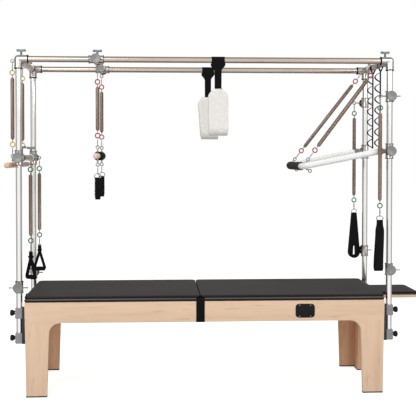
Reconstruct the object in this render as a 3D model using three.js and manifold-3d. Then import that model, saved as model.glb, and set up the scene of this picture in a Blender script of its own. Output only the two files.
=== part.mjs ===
// Pilates trapeze table: a padded table on an arched wooden base, with a tubular steel frame
// over it that carries springs, bars, straps and slings, and a folding board at one end.
// Millimetres. +Z is up, +X runs along the table to the folding board, -Y is the front.

import * as THREE from 'three';
import { mergeVertices } from 'three/addons/utils/BufferGeometryUtils.js';
import Module from 'manifold-3d';

const wasm = await Module();
wasm.setup();

// Wooden base
const baseLength = 2260;
const baseWidth = 690;
const baseHeight = 590;
const baseTaper = 10;
const panelThickness = 28;
const apronDepth = 129;
const legWidth = 127;
const legLean = 15.4;
const haunchRadius = 70;
const endLegWidth = 105;
const deckThickness = 18;

// Mats on the deck
const matThickness = 37;
const matEndInset = 9;
const matSideInset = 5;
const matSeamX = -37;
const matSeamGap = 1;
const matCornerRadius = 28;
const strapWidth = 54;
const strapThickness = 2;
const strapTopDrop = 14;
const strapTuck = 24;

// Steel frame
const frameHeight = 2100;
const tubeDiameter = 38;
const tubeWall = 2;
const postStandOff = 35;
const postInset = 35;
const postFoot = 333;
const socketDiameter = 50;
const socketReach = 62;
const crossSocketReach = 88;
const tubeStop = 24;
const collarDiameter = 52;
const discDiameter = 62;
const discThickness = 12;
const discReach = 60;
const neckDiameter = 38;

// Clamp collars with a T-screw and an eyebolt, on the cross tubes
const anchorY = 200;
const anchorWidth = 26;
const screwDiameter = 16;
const screwReach = 62;
const screwBarDiameter = 12;
const screwBarLength = 58;
const eyeReach = 56;
const eyeRadius = 10;
const eyeWire = 3;
const eyeShankDiameter = 8;
const pushEyeTurn = 65;

// Brackets that clamp the posts to the base
const bracketHeight = 224;
const bracketWidth = 60;
const bracketPlate = 15;
const clampHeight = 68;
const clampLength = 46;
const clampWidth = 50;
const knobDiameter = 40;
const knobLength = 29;
const knobLobe = 2.5;
const knobLobes = 6;
const studDiameter = 12;
const studGap = 5;

// Collars on the posts: the low ones by their height above the floor, the high ones by their
// drop below the rails, and the length of each
const lowLeftHeight = 684;
const lowRightFrontHeight = 780;
const lowRightBackHeight = 828;
const lowCollarLength = 70;
const highCollarDrop = 224;
const highCollarLength = 65;
const rodDiameter = 8;
const rodOffset = 35;
const rodReach = 60;
const rodStub = 22;
const legEyeReach = 69;

// Bars that slide on the frame
const midBarHeight = 1488;
const midBarSleeve = 92;
const trapezeX = -685;
const sliderSleeve = 90;

// Push-through bar and its pivots, by their drop below the rails
const pivotDrop = 570;
const pivotReach = 58;
const pushCollarLength = 94;
const tongueHeight = 28;
const tongueThickness = 12;
const hubDiameter = 44;
const hubWidth = 38;
const pinDiameter = 10;
const pushReach = 500;
const pushDrop = 11.1;
const pushBend = 50;
const pushEyeY = 255;
const pushEyeReach = 59;
const pushUpperEyeTurn = -138.4;
const pushLowerEyeTurn = -60;
const gripLength = 430;
const gripDiameter = 54;

// Springs with their rings and links
const coilDiameter = 26;
const coilEndDiameter = 14;
const coilStrip = 3;
const coilGroove = 1;
const coilGap = 2;
const coilTip = 4;
const coilTaper = 18;
const curlPitch = 100;
const curlSteps = 8;
const leastCurls = 2;
const coilSides = 5;
const hookSteps = 4;
const linkReach = 74;
const linkWidth = 20;
const linkWire = 4;
const ringRadius = 14.5;
const ringWire = 2.75;
const ringToCoil = 34;
const hookDiameter = 3.6;
const rollCoilLength = 386;
const trapezeCoilLength = 273;
const armCoilLength = 385;
const strapEyeHeight = 1112;

// Bars that hang on springs
const rollBarLength = 840;
const rollBarDiameter = 34;
const trapezeBarLength = 760;
const trapezeBarDiameter = 35;
const trapezeFoamLength = 340;
const trapezeFoamDiameter = 57;

// Straps and handles
const handleWidth = 83;
const handleHeight = 171;
const handleDepth = 28;
const handleBand = 5;
const handleGripDiameter = 30;
const footStrapHeight = 324;
const footStrapWidth = 72;
const frontStrapWidth = 83;
const footBandWidth = 50;
const frontBandWidth = 62;
const footBand = 5;
const strapTopRadius = 11;
const dRingRadius = 15;
const dRingWire = 2.5;
const cuffDrop = 71;
const cuffHeight = 140;
const cuffWidth = 56;
const cuffBandWidth = 62;
const cuffBand = 6;
const slingFrontX = 75;
const slingBackX = 50;
const slingRailWidth = 88;
const slingWebWidth = 43;
const slingWebLength = 190;
const slingBand = 4;
const fleeceTop = 170;
const fleeceHeight = 296;
const fleeceWidth = 124;
const fleeceDepth = 104;
const fleeceThickness = 20;
const fleeceTopRadius = 30;
const chainY = 95;
const chainLoops = 7;
const chainLoopLength = 72;
const chainLoopDepth = 40;
const chainWidth = 24;
const chainBand = 4;
const chainDrop = 46;

// Folding board at the right end
const boardLength = 274;
const boardHalfWidth = 156;
const boardThickness = 18;
const boardTopBelowBase = 1;
const boardCornerRadius = 24;
const padThickness = 21;
const padInset = 2;
const barrelDiameter = 10.6;
const leafThickness = 3;
const leafLength = 34;
const hingeStandOff = 5.5;

// Fits and facets
const fitGap = 0.3;
const seatGap = 0.5;
const overrun = 5;
const roundSides = 10;
const smallSides = 6;
const wireSides = 5;
const ringSides = 3;
const ringSteps = 8;
const arcSteps = 3;
const bendSteps = 3;

// Places that follow from the sizes above
const postX = baseLength / 2 + postStandOff;
const postY = baseWidth / 2 - postInset;
const tubeRadius = tubeDiameter / 2;
const railHalfLength = postX - tubeStop;
const crossHalfLength = postY - tubeStop;
const boreDiameter = tubeDiameter + 2 * fitGap / Math.cos(Math.PI / roundSides);
const deckTop = baseHeight;
const matTop = deckTop + matThickness;
const eyeHole = (eyeRadius - eyeWire * Math.cos(Math.PI / ringSides)) * Math.cos(Math.PI / ringSteps);
const linkRest = Math.sqrt((eyeHole - fitGap) ** 2 - (linkWire / 2) ** 2) - linkWire;
const coilEnds = 2 * (linkReach + ringToCoil);
const highCollarHeight = frameHeight - highCollarDrop;
const pivotHeight = frameHeight - pivotDrop;
const rollBarHeight = frameHeight - coilEnds - rollCoilLength - eyeReach;
const trapezeBarHeight = frameHeight - coilEnds - trapezeCoilLength - 2 * eyeReach;
const legCoilLength = highCollarHeight - strapEyeHeight - coilEnds;
const rollX = -postX - eyeReach;
const armX = -postX + eyeReach;
const legEyeX = postX - legEyeReach;
const pivotX = postX - pivotReach;
const hingeX = baseLength / 2 + hingeStandOff;
const boardTop = baseHeight - boardTopBelowBase;
const hingeZ = boardTop - boardThickness - barrelDiameter / 2;
const leftReach = -rollX + rollBarDiameter / 2;
const rightReach = hingeX + boardLength;

// Finishes
function finish(color, roughness, metalness = 0) {
  return new THREE.MeshStandardMaterial({ color, roughness, metalness });
}
const maple = finish(0xe2c5a8, 0.5);
const vinyl = finish(0x3a3737, 0.55);
const webbing = finish(0x141414, 0.85);
const steel = finish(0xc9c4be, 0.25, 1);
const castAlloy = finish(0x9a9898, 0.45, 0.8);
const springSteel = finish(0x96877a, 0.35, 0.9);
const whitePaint = finish(0xf4f4f2, 0.35);
const foam = finish(0x2c2a29, 0.9);
const fleece = finish(0xece7e0, 1);
const barWood = finish(0xcd9b7d, 0.45);
const paleWood = finish(0xebcdb9, 0.45);

// Solids: closed meshes that can be joined and cut
function solid(geometry) {
  const bare = geometry.clone();
  bare.deleteAttribute('normal');
  bare.deleteAttribute('uv');
  const merged = mergeVertices(bare);
  return new wasm.Manifold(new wasm.Mesh({
    numProp: 3,
    vertProperties: new Float32Array(merged.attributes.position.array),
    triVerts: new Uint32Array(merged.index.array),
  }));
}

function join(solids) {
  return solids.reduce((whole, piece) => whole.add(piece));
}

function cut(body, tools) {
  return tools.reduce((rest, tool) => rest.subtract(tool), body);
}

function surface(body) {
  const { vertProperties, triVerts, numProp } = body.getMesh();
  const positions = new Float32Array(vertProperties.length / numProp * 3);
  for (let i = 0; i < positions.length / 3; i += 1) {
    positions.set(vertProperties.subarray(i * numProp, i * numProp + 3), i * 3);
  }
  const geometry = new THREE.BufferGeometry();
  geometry.setAttribute('position', new THREE.BufferAttribute(positions, 3));
  geometry.setIndex(new THREE.BufferAttribute(new Uint32Array(triVerts), 1));
  geometry.computeVertexNormals();
  return geometry;
}

// A round bar along one axis between two coordinates, centred on the other two
function round(axis, diameter, from, to, centre = {}, sides = roundSides) {
  const geometry = new THREE.CylinderGeometry(diameter / 2, diameter / 2, Math.abs(to - from), sides);
  if (axis === 'x') geometry.rotateZ(Math.PI / 2);
  if (axis === 'z') geometry.rotateX(Math.PI / 2);
  const place = new THREE.Vector3(centre.x ?? 0, centre.y ?? 0, centre.z ?? 0);
  place[axis] = (from + to) / 2;
  geometry.translate(place.x, place.y, place.z);
  return solid(geometry);
}

// A block between two corners
function block(low, high) {
  const size = high.map((value, i) => Math.abs(value - low[i]));
  const middle = high.map((value, i) => (value + low[i]) / 2);
  const geometry = new THREE.BoxGeometry(...size);
  geometry.translate(...middle);
  return solid(geometry);
}

// A hollow tube along one axis
function hollowTube(axis, from, to, centre = {}) {
  const outside = round(axis, tubeDiameter, from, to, centre);
  const bore = round(axis, tubeDiameter - 2 * tubeWall, from - overrun, to + overrun, centre);
  return cut(outside, [bore]);
}

// An outline through corners [x, y, radius], each rounded by its own radius
function roundedShape(corners) {
  const shape = new THREE.Shape();
  corners.forEach(([x, y, radius], i) => {
    const corner = new THREE.Vector2(x, y);
    const before = corners[(i + corners.length - 1) % corners.length];
    const after = corners[(i + 1) % corners.length];
    const back = new THREE.Vector2(before[0], before[1]).sub(corner).normalize();
    const ahead = new THREE.Vector2(after[0], after[1]).sub(corner).normalize();
    const draw = i === 0 ? 'moveTo' : 'lineTo';
    if (!radius) {
      shape[draw](x, y);
      return;
    }
    const half = Math.acos(back.dot(ahead)) / 2;
    const start = corner.clone().addScaledVector(back, radius / Math.tan(half));
    const middle = back.clone().add(ahead).normalize().multiplyScalar(radius / Math.sin(half)).add(corner);
    const end = corner.clone().addScaledVector(ahead, radius / Math.tan(half));
    const clockwise = back.cross(ahead) > 0;
    shape[draw](start.x, start.y);
    shape.absarc(middle.x, middle.y, radius, start.clone().sub(middle).angle(),
      end.clone().sub(middle).angle(), clockwise);
  });
  shape.closePath();
  return shape;
}

// The outline of a belt round two circles, one a height above the other
function beltShape(lowRadius, highRadius, height) {
  const lean = Math.asin((lowRadius - highRadius) / height);
  const shape = new THREE.Shape();
  shape.absarc(0, height, highRadius, lean, Math.PI - lean, false);
  shape.absarc(0, 0, lowRadius, Math.PI - lean, 2 * Math.PI + lean, false);
  shape.closePath();
  return shape;
}

// Extrudes an outline by a width, centred on zero, and stands it up: its upright goes to +Z
// and its width runs along the given axis
function standing(shape, width, axis, curveSegments = arcSteps) {
  const geometry = new THREE.ExtrudeGeometry(shape, {
    depth: width, bevelEnabled: false, curveSegments,
  });
  geometry.translate(0, 0, -width / 2);
  geometry.rotateX(Math.PI / 2);
  if (axis === 'x') geometry.rotateZ(Math.PI / 2);
  return geometry;
}

// A band bent into a belt loop, hanging below zero, with a smaller end on top
function hangingLoop(height, width, topRadius, band, bandWidth, axis) {
  const lowRadius = width / 2;
  const centres = height - lowRadius - topRadius;
  const shape = beltShape(lowRadius, topRadius, centres);
  shape.holes.push(beltShape(lowRadius - band, topRadius - band, centres));
  const geometry = standing(shape, bandWidth, axis);
  geometry.translate(0, 0, lowRadius - height);
  return solid(geometry);
}

// A closed ring of round wire whose hole runs along Y
function wireRing(radius, wire, centre = {}) {
  const geometry = new THREE.TorusGeometry(radius, wire, ringSides, ringSteps);
  geometry.rotateX(Math.PI / 2);
  geometry.translate(centre.x ?? 0, centre.y ?? 0, centre.z ?? 0);
  return solid(geometry);
}

// Turns a hanging thing about the Y axis: +90 degrees takes it from -Z to -X
function turned(body, degrees) {
  return body.rotate([0, degrees, 0]);
}

// An eyebolt whose eye lies below a bar or tube that runs along Y
function eyebolt(reach, turn, barRadius = tubeRadius) {
  const shank = round('z', eyeShankDiameter, -barRadius + tubeWall / 2, -reach + eyeRadius, {}, wireSides);
  return turned(shank.add(wireRing(eyeRadius, eyeWire, { z: -reach })), turn);
}

// A clamp collar round a tube along Y, with a T-screw on top and an eyebolt
function anchor(turn) {
  const collar = round('y', socketDiameter, -anchorWidth / 2, anchorWidth / 2);
  const half = screwBarLength / 2;
  const stem = screwDiameter / 2;
  const screw = solid(standing(new THREE.Shape([
    [-stem, tubeRadius], [stem, tubeRadius], [stem, screwReach - screwBarDiameter / 2],
    [half, screwReach - screwBarDiameter / 4], [half, screwReach + screwBarDiameter / 2],
    [-half, screwReach + screwBarDiameter / 2], [-half, screwReach - screwBarDiameter / 4],
    [-stem, screwReach - screwBarDiameter / 2],
  ].map(([x, y]) => new THREE.Vector2(x, y))), screwDiameter, 'y'));
  return join([collar, screw, eyebolt(eyeReach, turn)]);
}

// The two anchors of a cross tube
function anchors(turn) {
  return [-anchorY, anchorY].map((y) => anchor(turn).translate([0, y, 0]));
}

// Wooden base

function sidePanel() {
  const top = baseLength / 2;
  const floor = top - baseTaper;
  const apron = baseHeight - apronDepth;
  const inner = floor - legWidth;
  const shape = roundedShape([
    [-top, baseHeight, 0], [-floor, 0, 0], [-inner, 0, 0], [legLean - inner, apron, haunchRadius],
    [inner - legLean, apron, haunchRadius], [inner, 0, 0], [floor, 0, 0], [top, baseHeight, 0],
  ]);
  return standing(shape, panelThickness, 'y');
}

// The end panels fit between the side panels and lean with their ends
function endPanel(side) {
  const outer = baseWidth / 2 - panelThickness - fitGap;
  const inner = outer - endLegWidth;
  const apron = baseHeight - apronDepth;
  const shape = roundedShape([
    [-outer, baseHeight, 0], [-outer, 0, 0], [-inner, 0, 0], [-inner, apron, haunchRadius],
    [inner, apron, haunchRadius], [inner, 0, 0], [outer, 0, 0], [outer, baseHeight, 0],
  ]);
  const geometry = standing(shape, panelThickness, 'x');
  geometry.translate(-side * panelThickness / 2, 0, 0);
  const position = geometry.attributes.position;
  for (let i = 0; i < position.count; i += 1) {
    const lean = baseTaper * (1 - position.getZ(i) / baseHeight);
    position.setX(i, position.getX(i) - side * lean);
  }
  return geometry;
}

function deckBoard() {
  const lean = baseTaper * deckThickness / baseHeight;
  const halfLength = baseLength / 2 - panelThickness - lean - fitGap;
  const halfWidth = baseWidth / 2 - panelThickness - fitGap;
  return surface(block([-halfLength, -halfWidth, -deckThickness], [halfLength, halfWidth, 0]));
}

// A cushion with a crown and drawn-in sides. Each ring of its skin has an inset and a level,
// as shares of the height, and the two crown rings shrink toward the middle
const skinShares = [[0.1, 0], [0, 0.28], [0, 0.6], [0.12, 0.8], [0.42, 0.9]];
const crownShares = [[0.72, 0.97]];
const cornerSteps = 2;

function cushion(length, width, height, cornerRadius) {
  const points = [];
  const rings = [];
  const corners = [[1, 1, 0], [-1, 1, 1], [-1, -1, 2], [1, -1, 3]];
  const outline = (inset, share, level) => {
    const ring = [];
    const radius = Math.max(cornerRadius - inset, cornerRadius / 4);
    corners.forEach(([sx, sy, quarter]) => {
      for (let step = 0; step <= cornerSteps; step += 1) {
        const angle = (quarter + step / cornerSteps) * Math.PI / 2;
        const x = sx * (length / 2 - inset - radius) + radius * Math.cos(angle);
        const y = sy * (width / 2 - inset - radius) + radius * Math.sin(angle);
        ring.push(points.length);
        points.push([x * share, y * share, level]);
      }
    });
    rings.push(ring);
  };
  skinShares.forEach(([inset, level]) => outline(inset * height, 1, level * height));
  const shoulder = skinShares[skinShares.length - 1][0] * height;
  crownShares.forEach(([share, level]) => outline(shoulder, share, level * height));
  const faces = [];
  const count = rings[0].length;
  for (let r = 0; r + 1 < rings.length; r += 1) {
    for (let i = 0; i < count; i += 1) {
      const j = (i + 1) % count;
      faces.push(rings[r][i], rings[r][j], rings[r + 1][j], rings[r][i], rings[r + 1][j], rings[r + 1][i]);
    }
  }
  const bottom = points.push([0, 0, 0]) - 1;
  const top = points.push([0, 0, height]) - 1;
  for (let i = 0; i < count; i += 1) {
    const j = (i + 1) % count;
    faces.push(rings[0][j], rings[0][i], bottom);
    faces.push(rings[rings.length - 1][i], rings[rings.length - 1][j], top);
  }
  const geometry = new THREE.BufferGeometry();
  geometry.setAttribute('position', new THREE.Float32BufferAttribute(points.flat(), 3));
  geometry.setIndex(faces);
  geometry.computeVertexNormals();
  return geometry;
}

// The strap over the mat seam: down the front of the mat and the apron, then tucked under
function matStrap() {
  const face = -baseWidth / 2 - fitGap;
  const under = baseHeight - apronDepth - fitGap;
  const matFace = face + matSideInset;
  const top = matTop - strapTopDrop;
  const shape = roundedShape([
    [matFace, top, 0], [matFace - strapThickness, top, 0],
    [face - strapThickness, deckTop, 0], [face - strapThickness, under - strapThickness, 0],
    [face + strapTuck, under - strapThickness, 0], [face + strapTuck, under, 0],
    [face, under, 0], [face, deckTop, 0],
  ]);
  return standing(shape, strapWidth, 'x');
}

// Frame

// A lobed clamping knob along X
function knob(from, to, z) {
  const points = [];
  for (let i = 0; i < knobLobes * 2; i += 1) {
    const angle = i * 2 * Math.PI / (knobLobes * 2);
    const radius = knobDiameter / 2 - (i % 2 === 0 ? knobLobe : 0);
    points.push(new THREE.Vector2(radius * Math.cos(angle), radius * Math.sin(angle)));
  }
  const geometry = standing(new THREE.Shape(points), Math.abs(to - from), 'x');
  geometry.translate((from + to) / 2, 0, z);
  return solid(geometry);
}

// The bracket holds a post to the end of the base: a back plate against the leaning end panel,
// and two bored blocks round the post, each with a knob. Its zero is on the post axis at its foot
function postBracket(side) {
  const faceAt = (z) => side * (-postStandOff - baseTaper * (1 - (postFoot + z) / baseHeight) + fitGap);
  const back = side * (bracketPlate - postStandOff);
  const plate = solid(standing(roundedShape([
    [faceAt(0), 0, 0], [back, 0, 0], [back, bracketHeight, 0], [faceAt(bracketHeight), bracketHeight, 0],
  ]), bracketWidth, 'y'));
  const middles = [clampHeight / 2, bracketHeight - clampHeight / 2];
  const clamps = middles.map((z) => block(
    [-clampLength / 2, -clampWidth / 2, z - clampHeight / 2],
    [clampLength / 2, clampWidth / 2, z + clampHeight / 2],
  ));
  const bored = cut(join([plate, ...clamps]), [round('z', boreDiameter, -overrun, bracketHeight + overrun)]);
  const outer = clampLength / 2;
  const knobStart = outer + studGap;
  const knobs = middles.flatMap((z) => [
    round('x', studDiameter, side * (outer - clampLength / 16), side * (knobStart + studGap), { z }, smallSides),
    knob(side * knobStart, side * (knobStart + knobLength), z),
  ]);
  return surface(join([bored, ...knobs]));
}

// A three-way corner fitting: sockets toward the rail, down to the post and across the table
function cornerFitting(side, depth) {
  const body = join([
    round('x', socketDiameter, 0, -side * socketReach),
    round('z', socketDiameter, 0, -socketReach),
    round('y', socketDiameter, 0, -depth * crossSocketReach),
    solid(new THREE.SphereGeometry(socketDiameter / 2, roundSides, roundSides / 2).rotateX(Math.PI / 2)),
  ]);
  return surface(cut(body, [
    round('x', boreDiameter, -side * (tubeStop - fitGap), -side * (socketReach + overrun)),
    round('z', boreDiameter, -tubeStop + fitGap, -socketReach - overrun),
    round('y', boreDiameter, -depth * (tubeStop - fitGap), -depth * (crossSocketReach + overrun)),
  ]));
}

function topTube(turn) {
  const outside = round('y', tubeDiameter, -crossHalfLength, crossHalfLength);
  const bore = round('y', tubeDiameter - 2 * tubeWall, -postY, postY);
  return surface(cut(join([outside, ...anchors(turn)]), [bore]));
}

// A disc-faced clamp on a neck that starts at a tube's axis and points along Y
function discClamp(depth) {
  const [neck, disc] = [neckDiameter / 2, discDiameter / 2];
  const face = discReach - discThickness;
  const geometry = new THREE.LatheGeometry([
    [0, 0], [neck, 0], [neck, face], [disc, face], [disc, discReach], [0, discReach],
  ].map(([x, y]) => new THREE.Vector2(x, y)), roundSides);
  if (depth < 0) geometry.rotateX(Math.PI);
  return solid(geometry);
}

// A collar on a post with a disc-faced clamp on its outer side
function collarBody(length, depth) {
  return [round('z', collarDiameter, -length / 2, length / 2), discClamp(depth)];
}

function postBore(length) {
  return round('z', boreDiameter, -length, length);
}

function rod(from, to, depth) {
  return round('x', rodDiameter, from, to, { y: depth * rodOffset }, smallSides);
}

function lowCollar(side, depth) {
  const inner = side < 0 ? rodReach : -rodStub;
  const body = join([...collarBody(lowCollarLength, depth), rod(side * rodReach, inner, depth)]);
  return surface(cut(body, [postBore(lowCollarLength)]));
}

function highCollar(depth) {
  const eye = wireRing(eyeRadius, eyeWire, { x: -legEyeReach, y: depth * rodOffset });
  const crossRod = rod(rodReach, -legEyeReach + eyeRadius, depth);
  const body = join([...collarBody(highCollarLength, depth), crossRod, eye]);
  return surface(cut(body, [postBore(highCollarLength)]));
}

// The collar that carries one end of the push bar has a tongue with a bored round end
function pushCollar(depth) {
  const half = tongueThickness / 2;
  const arm = block([-pivotReach, -half, -tongueHeight / 2], [-collarDiameter / 4, half, tongueHeight / 2]);
  const end = round('y', tongueHeight, -half, half, { x: -pivotReach });
  const hole = round('y', pinDiameter + 2 * fitGap / Math.cos(Math.PI / roundSides), -tongueThickness,
    tongueThickness, { x: -pivotReach });
  const body = join([...collarBody(pushCollarLength, depth), arm, end]);
  return surface(cut(body, [postBore(pushCollarLength), hole]));
}

// A bar across the frame with a sleeve at each end. The sleeves slide on posts or on rails
function slidingBar(axis, sleeveLength, turn) {
  const ends = [-1, 1].flatMap((depth) => {
    const y = depth * postY;
    const half = sleeveLength / 2;
    const sleeve = [
      round(axis, collarDiameter, -half, half, { y }),
      discClamp(depth).translate([0, y, 0]),
      round('y', socketDiameter, y, y - depth * crossSocketReach),
    ];
    return sleeve;
  });
  const body = join([...ends, round('y', tubeDiameter, -postY, postY), ...anchors(turn)]);
  const bores = [-postY, postY].map((y) => round(axis, boreDiameter, -sleeveLength, sleeveLength, { y }));
  return surface(cut(body, [...bores, round('y', tubeDiameter - 2 * tubeWall, -postY, postY)]));
}

// Push-through bar

// A path through a list of stations, with one step of an extrusion between each two
class StationPath extends THREE.Curve {
  constructor(stations) {
    super();
    this.stations = stations;
  }

  getUtoTmapping(share) {
    return share;
  }

  getPoint(share) {
    const last = this.stations.length - 1;
    const along = Math.min(Math.max(share, 0), 1) * last;
    const index = Math.min(Math.floor(along), last - 1);
    return this.stations[index].clone().lerp(this.stations[index + 1], along - index);
  }
}

// The U: out along one arm, round a bend, across, round a bend and back along the other arm
function uStations(start, reach, halfWidth, bend) {
  const quarter = (depth, from) => {
    const points = [];
    for (let step = 0; step <= bendSteps; step += 1) {
      const angle = (from + step / bendSteps) * Math.PI / 2;
      const x = bend - reach - bend * Math.sin(angle);
      points.push(new THREE.Vector3(x, depth * (halfWidth - bend + bend * Math.cos(angle)), 0));
    }
    return points;
  };
  return [
    new THREE.Vector3(-start, -halfWidth, 0), ...quarter(-1, 0), ...quarter(1, 0).reverse(),
    new THREE.Vector3(-start, halfWidth, 0),
  ];
}

function circleShape(radius, sides) {
  const points = [];
  for (let i = 0; i < sides; i += 1) {
    const angle = (i + 0.5) * 2 * Math.PI / sides;
    points.push(new THREE.Vector2(radius * Math.cos(angle), radius * Math.sin(angle)));
  }
  return new THREE.Shape(points);
}

// The hub at each end of the U is slotted round the collar's tongue, and a pin passes through both
function pushBar() {
  const webAt = -tongueHeight / 2 - seatGap;
  const slotHalf = tongueThickness / 2 + fitGap;
  const stations = uStations(-webAt + seatGap, pushReach, postY, pushBend);
  const bar = solid(new THREE.ExtrudeGeometry(circleShape(tubeRadius, roundSides), {
    extrudePath: new StationPath(stations), steps: stations.length - 1, bevelEnabled: false,
  }));
  const hubs = [-postY, postY].map((y) => {
    const drum = round('y', hubDiameter, y - hubWidth / 2, y + hubWidth / 2);
    const slot = block([webAt, y - slotHalf, -hubDiameter], [hubDiameter, y + slotHalf, hubDiameter]);
    const pin = round('y', pinDiameter, y - hubWidth / 2, y + hubWidth / 2);
    return cut(drum, [slot]).add(pin);
  });
  const slots = [-postY, postY].map((y) => block([webAt, y - slotHalf, -hubDiameter], [0, y + slotHalf, hubDiameter]));
  const frame = turned(join([cut(bar, slots), ...hubs]), -pushDrop);
  const eyes = [-pushEyeY, pushEyeY].flatMap((y) => [pushUpperEyeTurn, pushLowerEyeTurn].map((turn) => (
    eyebolt(pushEyeReach, turn).translate([crossBar.x, y, crossBar.z]))));
  return surface(join([frame, ...eyes]));
}

// The axis of the push bar's cross piece, from the pivot
const crossBar = {
  x: -pushReach * Math.cos(pushDrop * Math.PI / 180),
  z: -pushReach * Math.sin(pushDrop * Math.PI / 180),
};

function pushBarGrip() {
  const hole = (tubeDiameter + 2 * fitGap) / Math.cos(Math.PI / roundSides);
  return surface(cut(round('y', gripDiameter, -gripLength / 2, gripLength / 2),
    [round('y', hole, -gripLength, gripLength)]));
}

// Springs

// The radius of a spring at a distance from its end: it narrows toward each end
function coilRadius(level, length) {
  const fromEnd = Math.min(level, length - level);
  const share = Math.min(fromEnd / coilTaper, 1);
  const full = coilDiameter / 2;
  const end = coilEndDiameter / 2;
  return end + (full - end) * Math.sin(share * Math.PI / 2);
}

const leastGaps = new Map();

// The wound coil, standing on zero, with a straight hook at each end: one unbroken tube with five
// sides. Its curls are a strip on a narrowing core, and its first and last curls are ground flat
function coil(length, hookLength) {
  const curls = Math.max(Math.round(length / curlPitch) + 1, leastCurls);
  const pitch = (length - coilGap - 2 * coilTip) / (curls - 1);
  const points = [];
  const faces = [];
  const sections = curls * curlSteps;
  const hook = (level) => {
    for (let k = 0; k < coilSides; k += 1) {
      const turn = (k - 1) * 2 * Math.PI / coilSides;
      const [across, up] = [hookDiameter / 2 * Math.cos(turn), hookDiameter / 2 * Math.sin(turn)];
      points.push([across, -up, level]);
    }
  };
  hook(-hookLength);
  hook(-coilTip);
  for (let i = 0; i <= sections; i += 1) {
    const turn = i / curlSteps;
    const high = Math.min(length, pitch * turn + coilTip);
    const low = Math.max(0, pitch * (turn - 1) + coilTip + coilGap);
    const middle = (low + high) / 2;
    const angle = turn * 2 * Math.PI;
    const place = (radius, level) => points.push([radius * Math.cos(angle), radius * Math.sin(angle), level]);
    place(coilRadius(low, length) - coilGroove, low);
    place(coilRadius(middle, length), middle);
    place(coilRadius(high, length) - coilGroove, high);
    place(coilRadius(high, length) - coilStrip, high);
    place(coilRadius(low, length) - coilStrip, low);
  }
  hook(length + coilTip);
  hook(length + hookLength);
  for (let i = 0; i < sections + hookSteps; i += 1) {
    for (let k = 0; k < coilSides; k += 1) {
      const [a, b] = [i * coilSides + k, i * coilSides + (k + 1) % coilSides];
      faces.push(a, a + coilSides, b + coilSides, a, b + coilSides, b);
    }
  }
  const last = (sections + hookSteps) * coilSides;
  faces.push(0, 1, 2, 0, 2, 3, 0, 3, 4);
  faces.push(last, last + 2, last + 1, last, last + 3, last + 2, last, last + 4, last + 3);
  leastGaps.set(length.toFixed(0), leastGap(points.slice(2 * coilSides, -2 * coilSides), curlSteps));
  const geometry = new THREE.BufferGeometry();
  geometry.setAttribute('position', new THREE.Float32BufferAttribute(points.flat(), 3));
  geometry.setIndex(faces);
  return solid(geometry);
}

// The least distance between the points of one curl and those of the curls beside it
function leastGap(points, steps) {
  let least = Infinity;
  for (let i = 0; i < points.length; i += 1) {
    for (let j = i + (steps - 2) * coilSides; j < Math.min(points.length, i + (steps + 3) * coilSides); j += 1) {
      const [a, b] = [points[i], points[j]];
      least = Math.min(least, Math.hypot(a[0] - b[0], a[1] - b[1], a[2] - b[2]));
    }
  }
  return least;
}

// A flat snap link whose hole runs along X, between two levels below zero. Its sides swell
// toward the middle, and its two ends are flat where they bear on the eye and on the ring
const linkEndShare = 0.7;

function snapLink(top, bottom) {
  const middle = -(top + bottom) / 2;
  const outline = (half, high, low) => new THREE.Shape([
    [half * linkEndShare, low], [half, middle], [half * linkEndShare, high],
    [-half * linkEndShare, high], [-half, middle], [-half * linkEndShare, low],
  ].map(([x, y]) => new THREE.Vector2(x, y)));
  const shape = outline(linkWidth / 2, -top, -bottom);
  shape.holes.push(outline(linkWidth / 2 - linkWire, -top - linkWire, -bottom + linkWire));
  return solid(standing(shape, linkWire, 'x'));
}

// The end of a spring set, hanging from an eye's centre: a link and a coloured ring
function springEnd() {
  const ringTop = linkReach - ringRadius;
  const link = snapLink(linkRest, ringTop + ringWire + linkWire / 2);
  return link.add(wireRing(ringRadius, ringWire, { z: -linkReach }));
}

// A spring set from one eye's centre down to another, a distance below
function springSet(distance) {
  const end = springEnd();
  const length = distance - coilEnds;
  const hookLength = ringToCoil - ringRadius + ringWire / 4;
  const wound = coil(length, hookLength).translate([0, 0, -linkReach - ringToCoil - length]);
  const other = end.rotate([180, 0, 0]).translate([0, 0, -distance]);
  return join([end, wound, other]);
}

// Bars on springs

function rollBar() {
  const eyes = [-anchorY, anchorY].map((y) => (
    eyebolt(eyeReach, 180, rollBarDiameter / 2).translate([0, y, 0])));
  return surface(join([round('y', rollBarDiameter, -rollBarLength / 2, rollBarLength / 2), ...eyes]));
}

function trapezeBar() {
  const bar = round('y', trapezeBarDiameter, -trapezeBarLength / 2, trapezeBarLength / 2);
  const middle = round('y', trapezeFoamDiameter, -trapezeFoamLength / 2, trapezeFoamLength / 2);
  const eyes = [-anchorY, anchorY].flatMap((y) => [0, 180].map((turn) => (
    eyebolt(eyeReach, turn, trapezeBarDiameter / 2).translate([0, y, 0]))));
  return surface(join([bar, middle, ...eyes]));
}

// Straps and handles, each hanging from the centre of the eye or link that holds it

// A metal ring that the link above rests in, and the top of a strap round its foot
function topRing(radius, wire) {
  return wireRing(radius, wire, { z: -radius + eyeRadius });
}

function handle() {
  const top = eyeRadius - strapTopRadius / 2;
  const half = handleWidth / 2;
  const foot = -handleHeight - top + handleGripDiameter / 2;
  const loop = (inset) => {
    const [narrow, wide, bend] = [strapTopRadius - inset, half - inset, strapTopRadius - inset];
    return roundedShape([
      [narrow, -top - inset, bend / 2], [-narrow, -top - inset, bend / 2],
      [-wide, foot + inset, bend], [wide, foot + inset, bend],
    ]);
  };
  const shape = loop(0);
  shape.holes.push(loop(handleBand));
  const band = solid(standing(shape, handleDepth, 'y', 1));
  const grip = round('x', handleGripDiameter, -half, half, { z: foot + handleBand / 2 }, roundSides);
  return surface(join([topRing(eyeRadius, eyeWire), band, grip]));
}

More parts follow.
